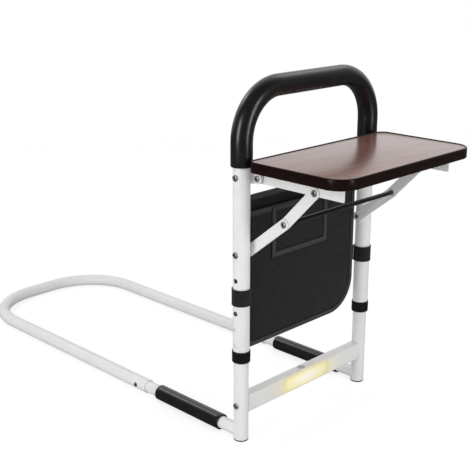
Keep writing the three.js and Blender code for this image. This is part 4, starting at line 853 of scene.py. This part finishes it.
set_out, nodes, links, given, out = start_tree("fasteners on their places", {"Fastener": "Object"})
turn_about = add_node("GeometryNodeInputNamedAttribute", {"Name": "facing"}, "Attribute", data_type="FLOAT")
about_z = add_node("ShaderNodeCombineXYZ", {"Z": turn_about})
fastener = add_node("GeometryNodeObjectInfo", {"Object": given["Fastener"]}, "Geometry",
                    transform_space="ORIGINAL")
fit = add_node("GeometryNodeInstanceOnPoints", {"Points": given["Geometry"], "Rotation": about_z,
                                                "Instance": fastener})
links.new(add_node("GeometryNodeRealizeInstances", {0: fit}), out.inputs[0])


def fit_fasteners(name, pattern, places, body, slot, *nodes_replaced):
    """One fastener like the pattern on each place (x, y, z, facing)."""
    bm = bmesh.new()
    for x, y, z, facing in places:
        bm.verts.new((x, y, z))
    piece = new_piece(name, bm, *pattern.data.materials)
    facings = piece.data.attributes.new("facing", "FLOAT", "POINT")
    facings.data.foreach_set("value", [facing for x, y, z, facing in places])
    use_tree(piece, set_out, {"Fastener": pattern})
    make_plain(piece, 38)
    bpy.data.objects.remove(pattern)
    seat(piece, body, slot, *nodes_replaced)


def both_sides(x, y, z):
    """A fastener's place on the near side and its mirror on the far side, which faces the other way."""
    return [(x, y, z, 0.0), (upright_spacing - x, y, z, pi)]


PIVOT_Y, PIVOT_Z = -134.5, 462.2
knee_low, knee_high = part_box("knee_rod")
KNEE_Y = ((knee_low.y + knee_high.y) / 2 - near_upright.y) / MM
KNEE_Z = (knee_low.z + knee_high.z) / 2 / MM
for name, body, grip, end, bolt_place, node in (
        ("light_bar_bolts", "base", 30.8, "nut", (-13.0, 0, BAR_BOLT_Z), "cross_bar_bolt"),
        ("bracket_bolts", "rail", 32.0, "nut", (-14.6, 0, HINGE_BOLT_Z), "bracket_bolt"),
        ("table_hinge_bolts", "rail", 10.7, "nut", (14.3, HINGE_Y, HINGE_Z), "hinge_bolt"),
        ("brace_foot_bolts", "rail", 34.5, "upset", (-14.6, 0, BRACE_Z), "brace_pivot_bolt"),
        ("brace_head_bolts", "table", 5.4, "nut", (19.6, PIVOT_Y, PIVOT_Z), "rail_pivot_bolt"),
        ("knee_bolts", "lower_braces", 2.25, "plain", (17.3, KNEE_Y, KNEE_Z), "knee_bolt")):
    fit_fasteners(name, bolt_pattern(grip, end), both_sides(*bolt_place), body, "zinc",
                  f"{node}_left", f"{node}_right")

# Bag: a black woven polyester bag between the uprights, open at the top, with its back higher than its front.
# It is sewn from two panels with a gusset, bound all round with tape, and one lower corner is cut large.
BAG_LEFT = 22.0
BAG_RIGHT = upright_spacing - 14.3 - 3.5
BAG_LOW = 161
BAG_BACK_TOP = 428
BAG_FRONT_TOP = 403
BAG_CORNER = 62
BAG_SMALL_CORNER = 12
BAG_MIDDLE = 13.5
BAG_COLUMNS = 84
BAG_ROWS = 76

bag_cloth, nodes, links, shader, place = start_material("black woven polyester")
weft, warp = [add_node("ShaderNodeTexWave", {"Scale": 200, "Distortion": 1.2, "Vector": place}, "Fac",
                       wave_type="BANDS", bands_direction=axis) for axis in "ZX"]
weave = add_node("ShaderNodeMath", {0: weft, 1: warp}, operation="MULTIPLY")


def mix(share, a, b):
    """A blend of two values; the share is that of the second."""
    return add_node("ShaderNodeMix", {"Factor": share, "A": a, "B": b}, "Result", data_type="FLOAT")


slub = mix(0.55, weave, add_noise(260, 5))
colour(slub, (0.2, (0.006, 0.006, 0.0065)), (0.5, (0.018, 0.018, 0.019)), (0.8, (0.036, 0.036, 0.037)))
roughen(add_noise(700, 3), 0.72, 0.9)
set_shader(Specular_IOR_Level=0.22, Sheen_Weight=0.1, Sheen_Roughness=0.5)
add_bump(slub, 0.6, 0.0004)

grey_tape, nodes, links, shader, place = start_material("charcoal binding tape")
rib = add_node("ShaderNodeTexWave", {"Scale": 190, "Vector": place}, "Fac", wave_type="BANDS",
               bands_direction="DIAGONAL")
colour(rib, (0.2, (0.040, 0.040, 0.041)), (0.8, (0.066, 0.066, 0.067)))
roughen(add_noise(600, 3), 0.7, 0.85)
set_shader(Specular_IOR_Level=0.22)
add_bump(rib, 0.4, 0.0002)


def bag_side(z, corner, edge, away):
    """The x of the bag's side at a height, drawn in where its lower corner is rounded."""
    rise = BAG_LOW + corner - z
    return edge if rise <= 0 else edge + away * (corner - sqrt(max(corner ** 2 - rise ** 2, 0)))


def from_bag_edge(x, z):
    """How far a point of a panel is from the bag's bound edge."""
    corner_x, corner_z = BAG_RIGHT - BAG_CORNER, BAG_LOW + BAG_CORNER
    if x > corner_x and z < corner_z:
        return max(BAG_CORNER - hypot(x - corner_x, z - corner_z), 0)
    return max(min(x - BAG_LEFT, BAG_RIGHT - x, z - BAG_LOW), 0)


def bag_face(x, z, front):
    """The y of a panel: drawn in at its edge and nearly flat between, with slack folds."""
    edge = from_bag_edge(x, z)
    half = 3.0 + 3.7 * (1 - exp(-edge / 14))
    slack = min(edge / 30, 1)
    fold = 0.5 * noise.noise(Vector((x / 70, 3.1 if front else 9.7, z / 110)))
    fold += 0.3 * noise.noise(Vector((x / 24 + z / 160, 5.2 if front else 1.4, z / 75)))
    return BAG_MIDDLE + (-half if front else half) + slack * fold


def even_steps(start, stop, count):
    return [start + (stop - start) * k / count for k in range(count + 1)]


def fill_grid(bm, rows, front=True):
    """The faces of a sheet of points, row by row, facing the front or the back."""
    for low, high in zip(rows, rows[1:]):
        for i in range(len(low) - 1):
            quad = [low[i], low[i + 1], high[i + 1], high[i]]
            bm.faces.new(quad if front else list(reversed(quad)))


def sew_cloth(name, bm, thickness, node):
    """A sheet of bag cloth with its thickness, turned in from the sheet."""
    piece = new_piece(name, bm, bag_cloth)
    set_all(piece.modifiers.new("cloth", "SOLIDIFY"), thickness=thickness * MM, offset=-1)
    seat(make_plain(piece, 60), "rail", "bag_cloth", node)


bag = bmesh.new()
panels = []
for front, top in ((True, BAG_FRONT_TOP), (False, BAG_BACK_TOP)):
    rows = []
    for j in range(BAG_ROWS + 1):
        z = BAG_LOW + (top - BAG_LOW) * (j / BAG_ROWS) ** 1.35
        x0 = bag_side(z, BAG_SMALL_CORNER, BAG_LEFT, 1)
        x1 = bag_side(z, BAG_CORNER, BAG_RIGHT, -1)
        rows.append([bag.verts.new((x, bag_face(x, z, front), z)) for x in even_steps(x0, x1, BAG_COLUMNS)])
    fill_grid(bag, rows, front)
    panels.append([row[0] for row in reversed(rows)] + rows[0][1:-1] + [row[-1] for row in rows])
for k in range(len(panels[0]) - 1):
    bag.faces.new([panels[0][k + 1], panels[0][k], panels[1][k], panels[1][k + 1]])
sew_cloth("bag_shell", bag, 1.3, "bag_body")


def sew_tape(bm, path, width, thickness, edge, across=None):
    """A folded tape along a path: width lies across the path in the panel, thickness along y."""
    turns = 4
    corners = [(width / 2 - edge, thickness / 2 - edge, 0), (edge - width / 2, thickness / 2 - edge, 1),
               (edge - width / 2, edge - thickness / 2, 2), (width / 2 - edge, edge - thickness / 2, 3)]
    profile = []
    for a, b, quarter in corners:
        for k in range(turns):
            angle = pi / 2 * (quarter + k / (turns - 1))
            profile.append((a + edge * cos(angle), b + edge * sin(angle)))
    rings = []
    for point, back, ahead in headings(path):
        inward = across or Vector((0, 1, 0)).cross((back + ahead).normalized()).normalized()
        stretch = 1 / max((back + ahead).length / 2, 0.7) if back.length and ahead.length else 1
        rings.append([bm.verts.new(point + inward * a * stretch + Vector((0, b, 0))) for a, b in profile])
    skin(bm, rings, caps=True)


def round_the_bag(inset, top):
    """The line along the bag's edge, down the left side, along the bottom and up the right side."""
    small, large = BAG_SMALL_CORNER - inset, BAG_CORNER - inset
    line = [Vector((BAG_LEFT + inset, 0, z)) for z in even_steps(top, BAG_LOW + BAG_SMALL_CORNER, 20)[:-1]]
    for k in range(9):
        angle = pi + pi / 2 * k / 8
        line.append(arc_point(BAG_LEFT + BAG_SMALL_CORNER, 0, BAG_LOW + BAG_SMALL_CORNER, small, angle))
    bottom = even_steps(BAG_LEFT + BAG_SMALL_CORNER, BAG_RIGHT - BAG_CORNER, 16)[1:-1]
    line += [Vector((x, 0, BAG_LOW + inset)) for x in bottom]
    for k in range(25):
        angle = -pi / 2 + pi / 2 * k / 24
        line.append(arc_point(BAG_RIGHT - BAG_CORNER, 0, BAG_LOW + BAG_CORNER, large, angle))
    line += [Vector((BAG_RIGHT - inset, 0, z)) for z in even_steps(BAG_LOW + BAG_CORNER, top, 16)[1:]]
    return line


def on_bag(x, z, away, front=True, drop=0):
    """A place that stands off a panel, and lies lower than the point that it is measured from."""
    return Vector((x, bag_face(x, z, front) + (-away if front else away), z - drop))


BINDING_WIDTH = 8.8
BINDING_DEPTH = 11.4
HEM_HEIGHT = 10
HEM_DEPTH = 2.6
tape = bmesh.new()
edge_line = round_the_bag(BINDING_WIDTH / 2, BAG_BACK_TOP - 0.5)
for point in edge_line:
    point.y = BAG_MIDDLE
sew_tape(tape, edge_line, BINDING_WIDTH, BINDING_DEPTH, 1.8)
for front, top in ((True, BAG_FRONT_TOP), (False, BAG_BACK_TOP)):
    hem = [on_bag(x, top, -0.65, front, 4.6) for x in even_steps(BAG_LEFT + 2, BAG_RIGHT - 2, 40)]
    sew_tape(tape, hem, HEM_HEIGHT, HEM_DEPTH, 1.0, Vector((0, 0, 1)))
set_in("bag_binding", tape, grey_tape, "rail", "bag_cloth", crease=50)

# Patch pocket: a flat pocket of the same cloth sewn on the bag's front, framed with tape 9 mm wide.
# The tape is a plainer, slightly greyer weave than the cloth, with a row of stitches along both its edges.
PATCH_LEFT = 81
PATCH_RIGHT = 226
PATCH_LOW = 311.5
PATCH_TOP = 401
PATCH_TAPE = 9
PATCH_HEM = 7
PATCH_ROWS = 24
PATCH_COLUMNS = 36
patch = bmesh.new()
patch_rows = []
for j, z in enumerate(even_steps(PATCH_LOW + 1, PATCH_TOP - 1, PATCH_ROWS)):
    patch_rows.append([])
    for i, x in enumerate(even_steps(PATCH_LEFT + 1, PATCH_RIGHT - 1, PATCH_COLUMNS)):
        belly = sin(pi * i / PATCH_COLUMNS) * sin(pi * min(j / 20, 1) ** 0.8)
        patch_rows[-1].append(patch.verts.new(on_bag(x, z, 1.0 + 0.7 * belly)))
fill_grid(patch, patch_rows)
sew_cloth("patch_pocket_panel", patch, 0.9, "bag_patch_pocket")


def patch_frame(inset, top):
    """The three sides of a frame on the pocket, each from corner to corner."""
    corners = [(PATCH_LEFT + inset, top), (PATCH_LEFT + inset, PATCH_LOW + inset),
               (PATCH_RIGHT - inset, PATCH_LOW + inset), (PATCH_RIGHT - inset, top)]
    return [(Vector(a), Vector(b)) for a, b in zip(corners, corners[1:])]


patch_tape = bmesh.new()
frame_line = []
for start, stop in patch_frame(PATCH_TAPE / 2, PATCH_TOP):
    frame_line += [on_bag(*at, 1.35) for at in even_steps(start, stop, 12)[:-1]]
frame_line.append(on_bag(*stop, 1.35))
sew_tape(patch_tape, frame_line, PATCH_TAPE, 1.7, 0.6)
hem = [on_bag(x, PATCH_TOP - PATCH_HEM / 2, 1.3) for x in even_steps(PATCH_LEFT + 1, PATCH_RIGHT - 1, 24)]
sew_tape(patch_tape, hem, PATCH_HEM, 1.5, 0.6, Vector((0, 0, 1)))
set_in("patch_pocket_tape", patch_tape, grey_tape, "rail", "bag_cloth", crease=50)

# Seams: lock stitches of thick black polyester thread along the bindings and hems of the bag and its pocket.
# Each stitch is 3.7 mm of thread that sinks a little into the cloth at both ends; their rows are also painted
# shade.
thread, nodes, links, shader, place = start_material("black polyester thread")
colour(add_noise(2000, 2), (0.3, (0.003, 0.003, 0.0033)), (0.7, (0.009, 0.009, 0.0095)))
set_shader(Roughness=0.5, Specular_IOR_Level=0.2)

stitching, nodes, links, given, out = start_tree("row of stitches", {
    "Stitch spacing": "Float", "Stitch length": "Float", "Thread radius": "Float", "Finish": "Material"})
seam = add_node("GeometryNodeMeshToCurve", {0: given["Geometry"]})
steps = add_node("GeometryNodeCurveToPoints", {"Curve": seam, "Length": given["Stitch spacing"]},
                 mode="LENGTH").node.outputs
stitch = add_node("GeometryNodeMeshUVSphere", {"Segments": 6, "Rings": 4, "Radius": 1.0})
size = add_node("ShaderNodeCombineXYZ", {"X": given["Thread radius"], "Y": given["Thread radius"],
                                         "Z": given["Stitch length"]})
end_tree(add_node("GeometryNodeInstanceOnPoints", {"Points": steps["Points"], "Rotation": steps["Rotation"],
                                                   "Instance": stitch, "Scale": size}))

# The thread is near black and the stitches are thick and set nearly end to end, so that each row also paints
# the shade of the fold beside the binding as a dark line: partly real stitches, partly painted shade.
STITCH_SPACING = 4.0
HALF_STITCH = 1.85
THREAD_RADIUS = 0.6
seams = bmesh.new()
line = round_the_bag(9.5, BAG_FRONT_TOP - 1)
for aside in (-5.25, 5.25):
    draw_line(seams, [Vector((point.x, BAG_MIDDLE + aside, point.z)) for point in line])
for front, top in ((True, BAG_FRONT_TOP), (False, BAG_BACK_TOP)):
    draw_line(seams, [on_bag(x, top, 0.75, front, 8.2) for x in even_steps(BAG_LEFT + 9, BAG_RIGHT - 9, 40)])
for inset, away in ((-0.7, 0.75), (9.6, 1.9)):
    for start, stop in patch_frame(inset, PATCH_TOP - 1):
        draw_line(seams, [on_bag(*at, away) for at in even_steps(start, stop, 16)])
seam_piece = new_piece("bag_stitching", seams, thread)
use_tree(seam_piece, stitching, {"Stitch spacing": STITCH_SPACING * MM, "Stitch length": HALF_STITCH * MM,
                                 "Thread radius": THREAD_RADIUS * MM, "Finish": thread})
seat(make_plain(seam_piece, 60), "rail", "bag_cloth")

# Bag straps: bands of the bag's cloth, 29 mm high, sewn to its edges and closed round the uprights.
# Each is two layers thick with turned edges, and has a short tab that runs into the bag's binding.
STRAP_LOW = 251
STRAP_HEIGHT = 29
for x, inward, reach, name, node in ((0, 1, BAG_LEFT + 1.5, "near", "bag_strap_left"),
                                     (upright_spacing, -1, upright_spacing - BAG_RIGHT + 1.5, "far",
                                      "bag_strap_right")):
    band = bmesh.new()
    turned(band, [(14.65, 0.6), (15.1, 0.1), (15.9, 0), (16.5, 0.4), (16.6, 1.2), (16.35, 3), (16.3, 8),
                  (16.35, 14.5), (16.3, 21), (16.35, 26), (16.6, 27.8), (16.5, 28.6), (15.9, 29),
                  (15.1, 28.9), (14.65, 28.4)], (x, 0, STRAP_LOW), (0, 0, 1), 64)
    tab = [Vector((x + inward * along, 12.4, STRAP_LOW + STRAP_HEIGHT / 2))
           for along in even_steps(12.2, reach, 6)]
    sew_tape(band, tab, STRAP_HEIGHT, 1.9, 0.7, Vector((0, 0, 1)))
    set_in(f"bag_strap_band_{name}", band, bag_cloth, "rail", "bag_cloth", node, crease=50)

# Table board: 16.8 mm board faced with a walnut laminate whose grain runs along the rail, with a clear
# glossy top coat. It is a rectangle with large front corners and smaller back ones.
TABLE_LENGTH = 355.5
TABLE_LEFT = (upright_spacing - TABLE_LENGTH) / 2
TABLE_RIGHT = upright_spacing - TABLE_LEFT
TABLE_BACK = -21.5
TABLE_FRONT = -215.8
TABLE_TOP = 499
TABLE_LOW = 482.2
FRONT_CORNER = 35
BACK_CORNER = 18

walnut, nodes, links, shader, place = start_material("glossy walnut laminate")
grain = mix(0.55, add_noise(7, 5, (0.8, 6, 6)), add_noise(60, 6, (0.5, 6, 6)))
pored = mix(0.22, grain, add_noise(260, 3, (0.3, 6, 6)))
colour(pored, (0.34, (0.120, 0.040, 0.026)), (0.44, (0.185, 0.070, 0.048)), (0.53, (0.245, 0.102, 0.074)),
       (0.66, (0.330, 0.150, 0.114)))
set_shader(Roughness=0.34, Specular_IOR_Level=0.15, Coat_Weight=0.85, Coat_Roughness=0.2, Coat_IOR=1.5)
add_bump(pored, 0.05, 0.0003)


def table_outline(inset, steps=14):
    """The table's outline, drawn in by the inset, counter-clockwise from above."""
    points = []
    for x, y, corner, start in ((TABLE_LEFT, TABLE_FRONT, FRONT_CORNER, pi),
                                (TABLE_RIGHT, TABLE_FRONT, FRONT_CORNER, 1.5 * pi),
                                (TABLE_RIGHT, TABLE_BACK, BACK_CORNER, 0),
                                (TABLE_LEFT, TABLE_BACK, BACK_CORNER, 0.5 * pi)):
        centre = (x + (corner if x < 100 else -corner), y + (corner if y < -100 else -corner))
        for k in range(steps + 1):
            angle = start + pi / 2 * k / steps
            points.append((centre[0] + (corner - inset) * cos(angle),
                           centre[1] + (corner - inset) * sin(angle)))
    return points


def stack_outlines(bm, levels, solid=True):
    """Outlines of the table at rising heights, closed to a solid or, where it isn't one, to a ring."""
    rings = [[bm.verts.new((x, y, z)) for x, y in table_outline(inset)] for inset, z in levels]
    skin(bm, rings, ring=not solid, caps=solid)


board = bmesh.new()
stack_outlines(board, [(2.9, TABLE_LOW), (2.5, TABLE_LOW + 0.4), (2.5, TABLE_TOP - 0.35),
                       (2.75, TABLE_TOP - 0.05), (3.1, TABLE_TOP)])
board_holes = bmesh.new()
SCREW_X = 35.7
SCREW_YS = (-65, -172)
SCREW_PLACES = [(x, y) for y in SCREW_YS for x in (SCREW_X, upright_spacing - SCREW_X)]
for x, y in SCREW_PLACES:
    z = TABLE_LOW
    rod(board_holes, 2.3, (x, y, z - 2), (x, y, z + 10.3), 0, 16)
table_top = new_piece("table_top_board", board, walnut)
drill(table_top, board_holes)
seat(table_top, "table", "walnut_board", "table_board")

# Edge band: near-black brown plastic moulding pressed round the board, with a soft gloss at the corners.
# Its top stands a millimetre above the board as a rounded lip, so that a cup can't slide off.
edge_plastic, nodes, links, shader, place = start_material("dark brown edge moulding")
colour(add_noise(18, 2), (0.3, (0.0080, 0.0024, 0.0022)), (0.7, (0.0110, 0.0036, 0.0032)))
roughen(add_noise(200, 2), 0.22, 0.32)
set_shader(Specular_IOR_Level=0.16)
add_bump(add_noise(500, 2), 0.03, 0.0001)
moulding = bmesh.new()
stack_outlines(moulding, [(2.3, TABLE_LOW + 0.1), (1.6, TABLE_LOW), (0.8, TABLE_LOW + 0.3),
                          (0.25, TABLE_LOW + 0.9), (0.0, TABLE_LOW + 1.8), (0.0, TABLE_TOP - 1.2),
                          (0.2, TABLE_TOP - 0.2),
                          (0.7, TABLE_TOP + 0.6), (1.6, TABLE_TOP + 1.1), (2.7, TABLE_TOP + 1.1),
                          (3.5, TABLE_TOP + 0.6), (3.8, TABLE_TOP), (3.8, TABLE_TOP - 0.1),
                          (2.3, TABLE_TOP - 0.4)], solid=False)
set_in("table_edge_moulding", moulding, edge_plastic, "table", "edge_band", "table_edge")

# Table rails: two steel angles under the board, white powder coat, whose upright legs carry the hinge at the
# back and the brace pivot near the middle. Two countersunk wood screws hold each to the board.
eased_copy("table_rail_angles", powder_coat, 0.35, "table", "white_steel",
           "table_rail_left", "table_rail_right")
screw = bmesh.new()
turned(screw, [(0, -4.2), (0.9, -4.2), (1.0, -4.9), (2.4, -4.8), (3.4, -4.2), (3.95, -3.4), (4.0, -2.95),
               (3.8, -2.8), (1.9, -2.8), (1.9, 7.6), (1.2, 9.0), (0, 10)], (0, 0, 0), (0, 0, 1), 32)
screw_pattern = new_piece("screw", screw, zinc, move=UNPLACED)
fit_fasteners("table_screws", screw_pattern, [(x, y, TABLE_LOW - 0.3, 0.0) for x, y in SCREW_PLACES],
              "table", "zinc", "table_screw_1", "table_screw_2", "table_screw_3", "table_screw_4")

# Folding braces: two flat steel links on each side, 18.5 mm wide with round ends, white powder coat.
# The lower one turns on the upright and the upper one on the table rail, and they meet at the knee.
eased_copy("lower_brace_links", powder_coat, 0.3, "lower_braces", "white_steel",
           "lower_link_left", "lower_link_right")
eased_copy("upper_brace_links", powder_coat, 0.3, "upper_braces", "white_steel",
           "upper_link_left", "upper_link_right")

# Knee rod: an 8 mm steel rod, glossy black paint, that joins the two knees so that both braces fold as one.
# It is a plain bar, cut square, and its eased ends stand against the upper links.
rod_paint, nodes, links, shader, place = start_material("glossy black paint")
colour(add_noise(80, 3), (0.3, (0.003, 0.003, 0.0033)), (0.7, (0.006, 0.006, 0.0065)))
roughen(add_noise(200, 2, (6, 1, 1)), 0.05, 0.1)
set_shader(Specular_IOR_Level=0.6)
add_bump(add_noise(700, 2), 0.05, 0.0001)
knee = bmesh.new()
rod(knee, 4, (19.9, KNEE_Y, KNEE_Z), (upright_spacing - 19.9, KNEE_Y, KNEE_Z), 0.6, 48)
set_in("knee_cross_rod", knee, rod_paint, "upper_braces", "black_paint", "knee_rod")
